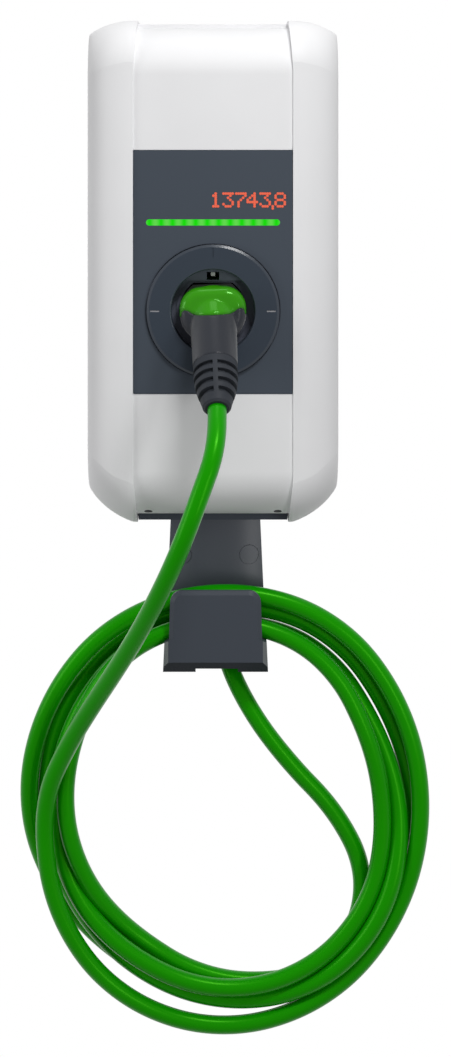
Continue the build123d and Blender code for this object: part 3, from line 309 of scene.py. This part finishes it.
class Finish(Enum):
    """Every finish of the charger."""

    COVER = Plastic("cover white", (0.83, 0.83, 0.84), 0.45, 0.2)
    SLATE = Plastic("panel slate", (0.046, 0.058, 0.076), 0.6, 0.25, 0.0006, 0.00002)
    DOCK = Plastic("dock slate", (0.036, 0.047, 0.064), 0.38, 0.12, 0.0006, 0.00002)
    DOCK_RIM = Plastic("dock rim slate", (0.036, 0.046, 0.062), 0.24, 0.3)
    # Painted light: the cup's slate is paler than the ring's, to lift the shade inside the recess.
    CUP_PAINTED_LIGHT = Plastic("cup slate painted light", (0.11, 0.12, 0.155), 0.45, 0.1, 0.0006, 0.00002)
    # Painted light: a pale colour on the side grooves' floors, for the light that the grooves catch.
    TICK_PAINTED_LIGHT = Plastic("tick painted light", (0.34, 0.34, 0.36), 0.5, 0.3)
    HOUSING = Plastic("housing slate", (0.060, 0.069, 0.086), 0.36, 0.1, 0.0008, 0.00002)
    # Painted light: the neck and the caps get a paler slate than the housing, to lift the shadow under the
    # cover.
    NECK_PAINTED_LIGHT = Plastic("neck slate painted light", (0.088, 0.097, 0.120), 0.3, 0.25, 0.0008, 0.00002)
    # Painted shade: the chin below the holder's plate gets a darker slate, for its underside in shade.
    CHIN_PAINTED_SHADE = Plastic("chin slate painted shade", (0.029, 0.033, 0.043), 0.36, 0.05, 0.0008, 0.00002)
    # Painted reflection: the holder's side edges get a pale slate, for the bright room that they mirror at
    # a grazing angle.
    EDGE_PAINTED_REFLECTION = Plastic("holder edge slate painted reflection", (0.17, 0.175, 0.19), 0.3, 0.35, 0.0008, 0.00002)
    GRIP = Plastic(
        "grip slate", (0.022, 0.025, 0.033), 0.26, 0.12, 0.0006, 0.00001, sheen=0.35, soften=0.004
    )
    HOOD = Plastic("hood green", (0.032, 0.27, 0.002), 0.14, 0.4, tint=(0.4, 1.0, 0.3), soften=0.006)
    RUBBER = Plastic("boot rubber", (0.030, 0.034, 0.042), 0.55, 0.15, 0.0008, 0.00003)
    JACKET = Plastic("cable jacket green", (0.006, 0.29, 0.0005), 0.28, 0.4, tint=(0.2, 1.0, 0.05))
    # Painted shade: a mid grey on the walls of the cover's screw seats, for the shadow inside the seats.
    SEAT_PAINTED_SHADE = Plastic("screw seat painted shade", (0.12, 0.12, 0.125), 0.6, 0.1, 0.0006, 0.00001)
    BLACK = Plastic("shroud black", (0.02, 0.02, 0.022), 0.5, 0.3, 0.0006, 0.00002)
    CATCH = Plastic("catch grey", (0.5, 0.5, 0.5), 0.4, 0.5, 0.0006, 0.00001)
    BOARD = Plastic("board green", (0.01, 0.12, 0.04), 0.35, 0.5, 0.001, 0.00001)
    MODULE = Plastic("module grey", (0.30, 0.31, 0.32), 0.5, 0.5, 0.0008, 0.00002)
    RING = Plastic("sensor blue", (0.02, 0.06, 0.25), 0.4, 0.5, 0.0008, 0.00002)
    GUARD = Plastic("guard pale", (0.65, 0.68, 0.70), 0.2, 0.5, 0.002, 0.00001)
    LAMP = Plastic("readout black", (0.02, 0.02, 0.02), 0.5, 0.5, 0.0006, 0.00001)
    STEEL = Metal("screw steel", (0.55, 0.55, 0.56), 0.35)
    DARK_STEEL = Metal("screw blackened steel", (0.012, 0.012, 0.014), 0.5)
    BRASS = Metal("contact brass", (0.75, 0.58, 0.28), 0.3)
    DIGITS = Glow("readout red", (0.84, 0.145, 0.083))
    BAR = SpottedGlow("light bar green", (0.010, 0.69, 0.004), (0.12, 0.68, 0.078), pitch=11.2 * MM)


class MaterialShelf:
    """Keeps each finish as one material, so that pieces share it."""

    def __init__(self) -> None:
        """Starts with no material made."""
        self.made: dict[Finish, bpy.types.Material] = {}

    def get(self, finish: Finish) -> bpy.types.Material:
        """Gives a finish's material, making it at first use.

        Args:
            finish: which finish.

        Returns:
            The material.
        """
        if finish not in self.made:
            self.made[finish] = finish.value.material()
        return self.made[finish]


# Helpers for meshes
def mesh_object(name: str, points: np.ndarray, faces: np.ndarray, smooth: bool = True) -> bpy.types.Object:
    """Makes an object from points and faces worked out as whole arrays.

    Args:
        name: the piece's name.
        points: an array of n by 3 places.
        faces: an array of point numbers with one row for each face.
        smooth: whether the faces are shaded smooth.

    Returns:
        The object, in the scene's collection.
    """
    mesh = bpy.data.meshes.new(name)
    mesh.from_pydata(points.tolist(), [], faces.tolist())
    mesh.polygons.foreach_set("use_smooth", np.full(len(mesh.polygons), smooth))
    mesh.validate()
    mesh.update()
    made = bpy.data.objects.new(name, mesh)
    bpy.context.scene.collection.objects.link(made)
    return made


def tube_faces(rings: int, sides: int) -> np.ndarray:
    """Numbers the three-sided faces of a tube with closed ends.

    Point j of ring i has the number i times the sides plus j. Two more points follow, the
    middles of the first and of the last ring. The four-sided face between the points (i, j),
    (i, j + 1), (i + 1, j + 1) and (i + 1, j) is halved from its first to its third corner,
    and each end is a fan round its middle.

    Args:
        rings: how many rings of points there are.
        sides: how many points a ring has.

    Returns:
        The faces as an array of n by 3 point numbers.
    """
    ring, side = np.meshgrid(np.arange(rings - 1), np.arange(sides), indexing="ij")
    here = ring * sides + side
    beside = ring * sides + (side + 1) % sides
    low_halves = np.stack([here, beside, beside + sides], axis=-1).reshape(-1, 3)
    high_halves = np.stack([here, beside + sides, here + sides], axis=-1).reshape(-1, 3)
    last = (rings - 1) * sides
    first_fan = np.stack([beside[0], here[0], np.full(sides, last + sides)], axis=-1)
    last_fan = np.stack([last + here[0], last + beside[0], np.full(sides, last + sides + 1)], axis=-1)
    return np.vstack([low_halves, high_halves, first_fan, last_fan])


def mirrored(direction: np.ndarray, across: np.ndarray) -> np.ndarray:
    """Reflects a direction in the plane that another one stands square on."""
    return direction - 2.0 / (across @ across) * (across @ direction) * across


def carried_frames(path: np.ndarray) -> tuple[np.ndarray, np.ndarray]:
    """Works out two directions across a path that turn with it and never twist.

    Each step reflects the last direction in the plane halfway between two points, and again in
    the plane that brings the reflected tangent onto the next one.

    Args:
        path: an array of n by 3 places. It starts out in another direction than Y.

    Returns:
        Two arrays of n by 3 unit directions, both square to the path.
    """
    tangent = np.gradient(path, axis=0)
    tangent /= np.linalg.norm(tangent, axis=1, keepdims=True)
    first = np.empty_like(path)
    start = np.cross(tangent[0], (0.0, 1.0, 0.0))
    first[0] = start / np.linalg.norm(start)
    for index, step in enumerate(np.diff(path, axis=0)):
        turn = tangent[index + 1] - mirrored(tangent[index], step)
        direction = mirrored(mirrored(first[index], step), turn)
        first[index + 1] = direction / np.linalg.norm(direction)
    return first, np.cross(tangent, first)


# Camera and light
@dataclass(frozen=True)
class Lamp:
    """One soft rectangular lamp: where it stands, what it faces, its size and its watts."""

    name: str
    place: Place
    aim: Place
    width: float
    height: float
    power: float

    def build(self) -> None:
        """Places the lamp and turns it to its aim."""
        data = bpy.data.lights.new(self.name, "AREA")
        data.shape = "RECTANGLE"
        data.size = self.width
        data.size_y = self.height
        data.energy = self.power
        lamp = bpy.data.objects.new(self.name, data)
        lamp.location = self.place
        direction = Vector(self.aim) - Vector(self.place)
        lamp.rotation_euler = direction.to_track_quat("-Z", "Y").to_euler()
        bpy.context.scene.collection.objects.link(lamp)


@dataclass
class Studio:
    """The camera, the lamps and the room.

    The camera stands level, at a distance in front of the wall and a height above the origin.
    The middle of its view, its focal length and the picture's size are in pixels of the
    photograph, and its sensor is in millimetres. The room lights the charger from all sides,
    at one strength from straight above and another from straight below.
    """

    distance: float = 2.700
    height: float = 0.120
    middle_column: float = 213.0
    middle_row: float = 149.7
    focal_pixels: float = 2614.0
    picture_width: float = 451.0
    picture_height: float = 1057.0
    sensor: float = 36.0
    lamps: tuple[Lamp, ...] = (
        Lamp("key lamp", (0.45, -1.2, 1.2), (0.0, -0.1, 0.0), width=0.5, height=0.3, power=14.5),
        Lamp("top lamp", (0.0, -0.25, 1.4), (0.0, -0.1, 0.0), width=0.6, height=0.6, power=3.0),
        Lamp("left lamp", (-1.6, -0.7, 0.1), (0.0, -0.1, -0.4), width=0.6, height=1.0, power=8.0),
        Lamp("right lamp", (1.2, -2.1, -0.3), (0.0, -0.1, -0.4), width=0.3, height=1.0, power=9.5),
    )
    room_above: float = 0.36
    room_below: float = 0.16

    def make_camera(self) -> None:
        """Places a level camera whose frame is shifted down onto the object."""
        data = bpy.data.cameras.new("camera")
        data.sensor_fit = "VERTICAL"
        data.sensor_height = self.sensor
        data.lens = self.focal_pixels / self.picture_height * self.sensor
        data.shift_x = (self.picture_width / 2 - self.middle_column) / self.picture_height
        data.shift_y = -(self.picture_height / 2 - self.middle_row) / self.picture_height
        camera = bpy.data.objects.new("camera", data)
        camera.location = (0.0, -self.distance, self.height)
        camera.rotation_euler = (math.pi / 2, 0.0, 0.0)
        bpy.context.scene.collection.objects.link(camera)
        bpy.context.scene.camera = camera

    def make_world(self) -> None:
        """Lights the room more from above, and shows white to the camera, to mirrors and through glass."""
        white = (1.0, 1.0, 1.0, 1.0)
        world = bpy.data.worlds.new("room")
        world.use_nodes = True
        tree = world.node_tree
        room = tree.nodes["Background"]
        room.inputs["Color"].default_value = white
        toward = tree.nodes.new("ShaderNodeTexCoord")
        split = tree.nodes.new("ShaderNodeSeparateXYZ")
        level = tree.nodes.new("ShaderNodeMapRange")
        level.inputs["From Min"].default_value = -1.0
        level.inputs["To Min"].default_value = self.room_below
        level.inputs["To Max"].default_value = self.room_above
        tree.links.new(toward.outputs["Generated"], split.inputs["Vector"])
        tree.links.new(split.outputs["Z"], level.inputs["Value"])
        tree.links.new(level.outputs["Result"], room.inputs["Strength"])
        backdrop = tree.nodes.new("ShaderNodeBackground")
        backdrop.inputs["Color"].default_value = white
        backdrop.inputs["Strength"].default_value = 1.0
        rays = tree.nodes.new("ShaderNodeLightPath")
        share = rays.outputs["Is Camera Ray"]
        for kind in ("Is Glossy Ray", "Is Transmission Ray"):
            either = tree.nodes.new("ShaderNodeMath")
            either.operation = "MAXIMUM"
            tree.links.new(share, either.inputs[0])
            tree.links.new(rays.outputs[kind], either.inputs[1])
            share = either.outputs["Value"]
        mix = tree.nodes.new("ShaderNodeMixShader")
        tree.links.new(share, mix.inputs["Fac"])
        tree.links.new(room.outputs["Background"], mix.inputs[1])
        tree.links.new(backdrop.outputs["Background"], mix.inputs[2])
        tree.links.new(mix.outputs["Shader"], tree.nodes["World Output"].inputs["Surface"])
        bpy.context.scene.world = world

    def build(self) -> None:
        """Makes the camera, the lamps and the room."""
        self.make_camera()
        for lamp in self.lamps:
            lamp.build()
        self.make_world()
        bpy.context.scene.view_settings.view_transform = "Standard"


# Charging cable
@dataclass(frozen=True)
class Turn:
    """How one turn of the coil hangs, at twelve places from the top round by the left.

    The reach is the distance from the coil's middle and the depth is the place along Y, both
    in millimetres.
    """

    reach: tuple[float, ...]
    depth: tuple[float, ...]


@dataclass
class ChargingCable:
    """The green cable: out of the holder, almost five turns over its saddle, up to the connector.

    The radius is in metres. The coil's middle and the points of the tail, which comes out of
    the holder, and of the riser, which ends at the connector, are in millimetres. The coil ends
    at two clockwise angles from the top, in degrees: the first where the riser takes over, and
    the last where the tail does. The centre line has a number of steps for each point of the
    route, and the tube a number of sides.
    """

    radius: float = 9.0 * MM
    sides: int = 32
    steps: int = 16
    spline_order: int = 3
    middle_x: float = 9.0
    middle_z: float = -537.3
    points_per_turn: int = 24
    tail: tuple[Place, ...] = (
        (2.5, -31.0, -236.0),
        (2.5, -31.0, -283.0),
        (3.2, -36.0, -330.5),
        (7.2, -51.5, -368.0),
        (15.4, -69.5, -397.6),
        (29.7, -80.5, -427.7),
        (52.3, -85.0, -463.0),
        (83.2, -84.5, -500.6),
        (111.0, -81.5, -529.5),
        (131.0, -78.5, -558.0),
        (145.5, -76.0, -587.0),
        (151.0, -74.0, -618.5),
        (146.0, -74.5, -650.5),
        (130.0, -78.5, -679.0),
        (100.5, -82.6, -703.5),
    )
    riser: tuple[Place, ...] = (
        (-165.3, -123.3, -529.5),
        (-158.9, -131.5, -499.0),
        (-139.1, -147.5, -457.0),
        (-117.6, -171.0, -419.0),
        (-92.6, -201.0, -377.0),
        (-70.8, -229.0, -338.0),
        (-52.6, -255.0, -301.0),
        (-35.6, -275.0, -262.6),
        (-21.7, -284.4, -226.7),
        (-11.0, -283.5, -197.0),
        (0.2, -275.7, -166.7),
        (4.3, -258.5, -139.8),
        (3.8, -242.2, -124.0),
    )
    turns: tuple[Turn, ...] = (
        Turn(
            (212, 207.5, 188.5, 174.5, 186.5, 204.5, 214, 210.5, 201, 197, 203.5, 216),
            (-105, -110, -116, -120, -116.5, -106, -99, -96, -93.5, -97, -100.5, -101.5),
        ),
        Turn(
            (216.5, 211.5, 200, 192.5, 186.5, 186, 196.5, 203.5, 198, 191, 190.5, 202.5),
            (-102.5, -97, -89.5, -80, -61, -56, -58, -65.5, -73.5, -78.5, -81, -84),
        ),
        Turn(
            (201.5, 194.5, 184.5, 175, 172.5, 177, 188, 193.5, 186, 175.5, 171, 183),
            (-85, -68, -75.5, -74, -85, -95, -96, -103, -105.5, -92, -83, -79.5),
        ),
        Turn(
            (183, 181.5, 170, 165, 166, 165.5, 173.5, 175.5, 169, 158.5, 162.5, 182),
            (-82, -84, -92, -92.5, -103.5, -110, -109, -105, -100, -98.5, -106, -104),
        ),
        Turn(
            (187, 183.5, 165, 154, 149.5, 153.5, 169.5, 184, 165, 146, 130, 120),
            (-103.5, -103.5, -110.5, -115.5, -104.5, -88, -91, -81.5, -70, -75.5, -83, -84),
        ),
    )
    first_angle: float = 262.5
    last_angle: float = 163.0

    def coil_points(self) -> list[Place]:
        """Works out the coil's points, from the end by the tail to the end by the riser.

        The travel is how many degrees the coil has gone round from the top by the left, a whole
        turn for each Turn. Reach and depth between two neighbouring places follow the cubic
        through both, whose slope at each is half the difference of the places on its two sides.
        The reach is then divided by the cosine of half a step, because the line passes inside
        its points. A point is the middle plus the reach times (sine, cosine) of minus the travel.

        Returns:
            The points in millimetres.
        """
        reach = np.concatenate([turn.reach for turn in self.turns])
        depth = np.concatenate([turn.depth for turn in self.turns])
        step = FULL_TURN / self.points_per_turn
        begin = FULL_TURN - self.first_angle
        end = FULL_TURN * len(self.turns) - self.last_angle
        travel = np.linspace(begin, end, round((end - begin) / step) + 1)
        place = travel / (FULL_TURN / len(self.turns[0].reach))
        # One more place in front of a point's stretch and one behind it stay within the table
        before = np.clip(np.floor(place).astype(int), 1, len(reach) - 3)
        rows = np.stack([before - 1, before, before + 1, before + 2])
        share = place - before
        weights = np.stack([
            ((2.0 - share) * share - 1.0) * share,
            (3.0 * share - 5.0) * share**2 + 2.0,
            ((4.0 - 3.0 * share) * share + 1.0) * share,
            (share - 1.0) * share**2,
        ]) / 2.0
        radius = (weights * reach[rows]).sum(axis=0) / math.cos(math.radians(step / 2))
        out = (weights * depth[rows]).sum(axis=0)
        angle = np.radians(-travel)
        x = self.middle_x + radius * np.sin(angle)
        z = self.middle_z + radius * np.cos(angle)
        points = np.stack([x, out, z], axis=-1)
        return [tuple(point) for point in points[::-1]]

    def centre_line(self) -> np.ndarray:
        """Gives the cable's centre line as close points along its spline.

        Returns:
            An array of n by 3 places in metres, from the holder to the connector.
        """
        route = [*self.tail, *self.coil_points(), *self.riser]
        curve = bpy.data.curves.new("cable route", "CURVE")
        curve.dimensions = "3D"
        spline = curve.splines.new("NURBS")
        spline.points.add(len(route) - 1)
        for point, place in zip(spline.points, route):
            point.co = (*(value * MM for value in place), 1.0)
        spline.order_u = self.spline_order
        spline.use_endpoint_u = True
        spline.resolution_u = self.steps
        carrier = bpy.data.objects.new("cable route", curve)
        bpy.context.scene.collection.objects.link(carrier)
        bpy.context.view_layer.update()
        line = bpy.data.meshes.new_from_object(carrier)
        path = np.empty(3 * len(line.vertices))
        line.vertices.foreach_get("co", path)
        bpy.data.objects.remove(carrier)
        bpy.data.curves.remove(curve)
        bpy.data.meshes.remove(line)
        return path.reshape(-1, 3)

    def build(self, shelf: MaterialShelf) -> bpy.types.Object:
        """Makes the cable as one round tube with closed ends.

        A point of the tube is the centre line plus the radius times the first direction times
        the cosine, plus the second times the sine, of its angle round the cable.

        Args:
            shelf: the materials.

        Returns:
            The cable.
        """
        path = self.centre_line()
        first, second = carried_frames(path)
        angle = np.linspace(0.0, 2.0 * math.pi, self.sides, endpoint=False)
        across = np.cos(angle)[None, :, None] * first[:, None, :]
        across = across + np.sin(angle)[None, :, None] * second[:, None, :]
        tube = (path[:, None, :] + self.radius * across).reshape(-1, 3)
        points = np.vstack([tube, path[:1], path[-1:]])
        cable = mesh_object("charging_cable", points, tube_faces(len(path), self.sides))
        cable.data.materials.append(shelf.get(Finish.JACKET))
        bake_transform(cable)
        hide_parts("cable_riser", "cable_coil", "cable_tail")
        return cable


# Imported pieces
def face_places(piece: bpy.types.Object) -> tuple[np.ndarray, np.ndarray]:
    """Reads where a piece's faces are and where they look.

    Args:
        piece: the piece.

    Returns:
        The faces' centres in millimetres and their normals, each n by 3.
    """
    faces = piece.data.polygons
    centre, normal = np.empty((2, 3 * len(faces)))
    faces.foreach_get("center", centre)
    faces.foreach_get("normal", normal)
    return centre.reshape(-1, 3) / MM, normal.reshape(-1, 3)


def paint_faces(piece: bpy.types.Object, shelf: MaterialShelf, masks: dict[Finish, np.ndarray]) -> None:
    """Gives some faces of a piece a finish of their own.

    Args:
        piece: the piece, which wears its main finish by now.
        shelf: the materials.
        masks: which faces take each finish.
    """
    mesh = piece.data
    slots = np.zeros(len(mesh.polygons), dtype=np.int32)
    for slot, (finish, mask) in enumerate(masks.items(), start=1):
        mesh.materials.append(shelf.get(finish))
        slots[mask] = slot
        log.info("%s: %d faces in %s", piece.name, mask.sum(), finish.value.name)
    mesh.polygons.foreach_set("material_index", slots)
    mesh.update()


class Assembly:
    """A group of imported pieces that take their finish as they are."""

    finishes: dict[str, Finish] = {}

    def dress(self, nodes: dict[str, bpy.types.Object], shelf: MaterialShelf) -> None:
        """Gives each piece its material.

        Args:
            nodes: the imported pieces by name.
            shelf: the materials.
        """
        for name, finish in self.finishes.items():
            materials = nodes[name].data.materials
            materials.clear()
            materials.append(shelf.get(finish))
            log.info("%s: %s", name, finish.value.name)


@dataclass
class Cover(Assembly):
    """The white cover with its screws, its seal and painted shade in its two screw seats, in millimetres.
    """

    finishes = {
        "front_cover": Finish.COVER,
        "cover_screws": Finish.DARK_STEEL,
        "cover_seal": Finish.RUBBER,
    }
    screw_x: float = 63.5
    screw_y: float = -134.0
    seat_reach: float = 5.0
    seat_lean: float = 0.1

    def paint_seat_shade(self, cover: bpy.types.Object, shelf: MaterialShelf) -> None:
        """Paints the walls of the two screw seats dark grey, as painted shade for the shadow inside the
        seats.

        Such a face lies less than the seat's reach from a screw's upright axis, and its normal
        leans up or down by less than the seat's lean.

        Args:
            cover: the cover.
            shelf: the materials.
        """
        centre, normal = face_places(cover)
        away = np.hypot(np.abs(centre[:, 0]) - self.screw_x, centre[:, 1] - self.screw_y)
        shaded_seat = (away < self.seat_reach) & (np.abs(normal[:, 2]) < self.seat_lean)
        paint_faces(cover, shelf, {Finish.SEAT_PAINTED_SHADE: shaded_seat})


@dataclass
class Panel(Assembly):
    """The dark front panel, its light bar and the red readout that shines through it.

    The readout's sizes are in millimetres: where each sign starts, the height of its top row,
    the spacing of its columns and rows of dots, a dot's radius, the panel's face, how far the
    dots lie in front of it, and how much further each dot lies than the last.
    """

    finishes = {
        "front_panel": Finish.SLATE,
        "status_light_guide": Finish.BAR,
        "status_light_board": Finish.BOARD,
        "display_module": Finish.LAMP,
    }
    glyphs = {
        "1": "010 110 010 010 010 010 111",
        "3": "11111 00010 00100 00010 00001 10001 01110",
        "7": "11111 00001 00010 00100 01000 01000 01000",
        "4": "00010 00110 01010 10010 11111 00010 00010",
        ",": "0 0 0 0 0 0 1 1",
        "8": "01110 10001 10001 01110 10001 10001 01110",
    }
    text: str = "13743,8"
    starts: tuple[float, ...] = (0.4, 10.2, 22.6, 33.7, 46.2, 58.0, 60.8)
    top: float = 77.4
    column: float = 2.22
    row: float = 2.06
    dot: float = 1.34
    face_y: float = -161.3
    lift: float = 0.25
    stagger: float = 0.002
    sides: int = 12

    def dots(self) -> np.ndarray:
        """Lists where the readout's lit dots are.

        Returns:
            An array of n by 2 places in millimetres, across and up.
        """
        places = []
        for start, letter in zip(self.starts, self.text):
            for down, line in enumerate(self.glyphs[letter].split()):
                lit = [across for across, state in enumerate(line) if state == "1"]
                places += [(start + self.column * across, self.top - self.row * down) for across in lit]
        return np.array(places)

    def build(self, shelf: MaterialShelf) -> bpy.types.Object:
        """Makes the lit digits as small round discs just in front of the panel.

        A disc's edge is its middle plus the dot's radius times (cosine, sine) of the angle.

        Args:
            shelf: the materials.

        Returns:
            The digits.
        """
        middle = self.dots()
        angle = np.linspace(0.0, 2.0 * math.pi, self.sides, endpoint=False)
        edge = middle[:, None, :] + self.dot * np.stack([np.cos(angle), np.sin(angle)], axis=-1)
        out = self.face_y - self.lift - self.stagger * np.arange(len(middle))
        depth = np.broadcast_to(out[:, None], edge.shape[:2])
        points = np.stack([edge[..., 0], depth, edge[..., 1]], axis=-1).reshape(-1, 3) * MM
        faces = np.arange(len(points)).reshape(-1, self.sides)
        digits = mesh_object("readout_digits", points, faces, smooth=False)
        digits.data.materials.append(shelf.get(Finish.DIGITS))
        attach(digits, "root")
        log.info("readout_digits: %d dots", len(middle))
        return digits


@dataclass
class Dock(Assembly):
    """The round dock, whose ring has two side ticks with groove floors painted pale as painted light, and
    a smooth bevelled rim, in millimetres.
    """

    finishes = {
        "dock_ring": Finish.DOCK,
        # The cup's paler slate is painted light.
        "dock_cup": Finish.CUP_PAINTED_LIGHT,
        "dock_catch": Finish.CATCH,
    }
    groove_y: float = -165.4
    groove_slack: float = 0.05
    groove_inner: float = 5.0
    flat_from: float = 0.99
    bevel_from: float = 0.5
    bevel_to: float = 0.98

    def paint_ring(self, ring: bpy.types.Object, shelf: MaterialShelf) -> None:
        """Paints the floors of the side grooves pale, as painted light for the light that the grooves
        catch, and gives the rim's bevel its own smoother finish.

        A floor looks straight ahead at the groove's depth, away from the upright middle plane,
        and the bevel's faces look ahead by a share between two bounds.

        Args:
            ring: the dock's ring.
            shelf: the materials.
        """
        centre, normal = face_places(ring)
        ahead = -normal[:, 1]
        floor = (np.abs(centre[:, 1] - self.groove_y) < self.groove_slack) & (ahead > self.flat_from)
        floor &= np.abs(centre[:, 0]) > self.groove_inner
        rim = (ahead > self.bevel_from) & (ahead < self.bevel_to)
        paint_faces(ring, shelf, {Finish.TICK_PAINTED_LIGHT: floor, Finish.DOCK_RIM: rim})


class Connector(Assembly):
    """The vehicle connector with its green hood and its boot."""

    finishes = {
        "connector_nose": Finish.BLACK,
        "contact_carrier": Finish.BLACK,
        "contact_sleeves": Finish.BRASS,
        "handle_shell": Finish.GRIP,
        "handle_cap": Finish.HOOD,
        "handle_screws": Finish.STEEL,
        "cable_boot": Finish.RUBBER,
        "cable_end": Finish.JACKET,
    }


class Housing(Assembly):
    """The dark housing on the wall and what it holds."""

    finishes = {
        "base_housing": Finish.HOUSING,
        "main_board": Finish.BOARD,
        "board_screws": Finish.STEEL,
        "contactor": Finish.MODULE,
        "terminal_block": Finish.MODULE,
        "terminal_cover": Finish.GUARD,
        "current_sensor": Finish.RING,
        "supply_grommet": Finish.RUBBER,
        "outlet_gland": Finish.BLACK,
        "outlet_gland_nut": Finish.BLACK,
    }


@dataclass
class Holder(Assembly):
    """The cable holder with its two caps, whose neck and caps are painted paler than its plate as painted
    light, whose lower side edges are painted paler as a painted reflection, and whose chin is painted
    darker as painted shade.

    The places of the neck, the chin and the edges are in millimetres.
    """

    # The caps wear the neck's paler slate, which is painted light.
    finishes = {"holder_body": Finish.HOUSING, "holder_caps": Finish.NECK_PAINTED_LIGHT}
    neck_front: float = -75.0
    chin_top: float = -384.0
    chin_lean: float = 0.2
    edge_back: float = -100.0
    edge_ahead: float = 0.5
    edge_aside: float = 0.7

    def paint_body(self, body: bpy.types.Object, shelf: MaterialShelf) -> None:
        """Paints light and shade onto the holder: a paler neck as painted light, a darker chin below the
        plate as painted shade, and paler side edges as a painted reflection.

        The neck is every face that lies behind its front. The chin lies below its top and looks
        down and ahead by more than its lean. The edges lie in front of their back and look ahead
        and aside by more than two shares.

        Args:
            body: the holder's body.
            shelf: the materials.
        """
        centre, normal = face_places(body)
        aside, ahead, down = np.abs(normal[:, 0]), -normal[:, 1], -normal[:, 2]
        neck = centre[:, 1] > self.neck_front
        chin = (centre[:, 2] < self.chin_top) & (down > self.chin_lean) & (ahead > self.chin_lean)
        edge = (centre[:, 1] < self.edge_back) & (ahead > self.edge_ahead) & (aside > self.edge_aside)
        paint_faces(body, shelf, {Finish.NECK_PAINTED_LIGHT: neck, Finish.CHIN_PAINTED_SHADE: chin, Finish.EDGE_PAINTED_REFLECTION: edge})


def main() -> None:
    """Builds the charger's pieces in order."""
    logging.basicConfig(level=logging.INFO, format="%(message)s")
    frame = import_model()
    nodes = frame["nodes"]
    shelf = MaterialShelf()
    Studio().build()
    ChargingCable().build(shelf)
    cover, panel, dock, holder = Cover(), Panel(), Dock(), Holder()
    for assembly in (cover, panel, dock, Connector(), Housing(), holder):
        assembly.dress(nodes, shelf)
    panel.build(shelf)
    cover.paint_seat_shade(nodes["front_cover"], shelf)
    dock.paint_ring(nodes["dock_ring"], shelf)
    holder.paint_body(nodes["holder_body"], shelf)


if __name__ == "__main__":
    main()
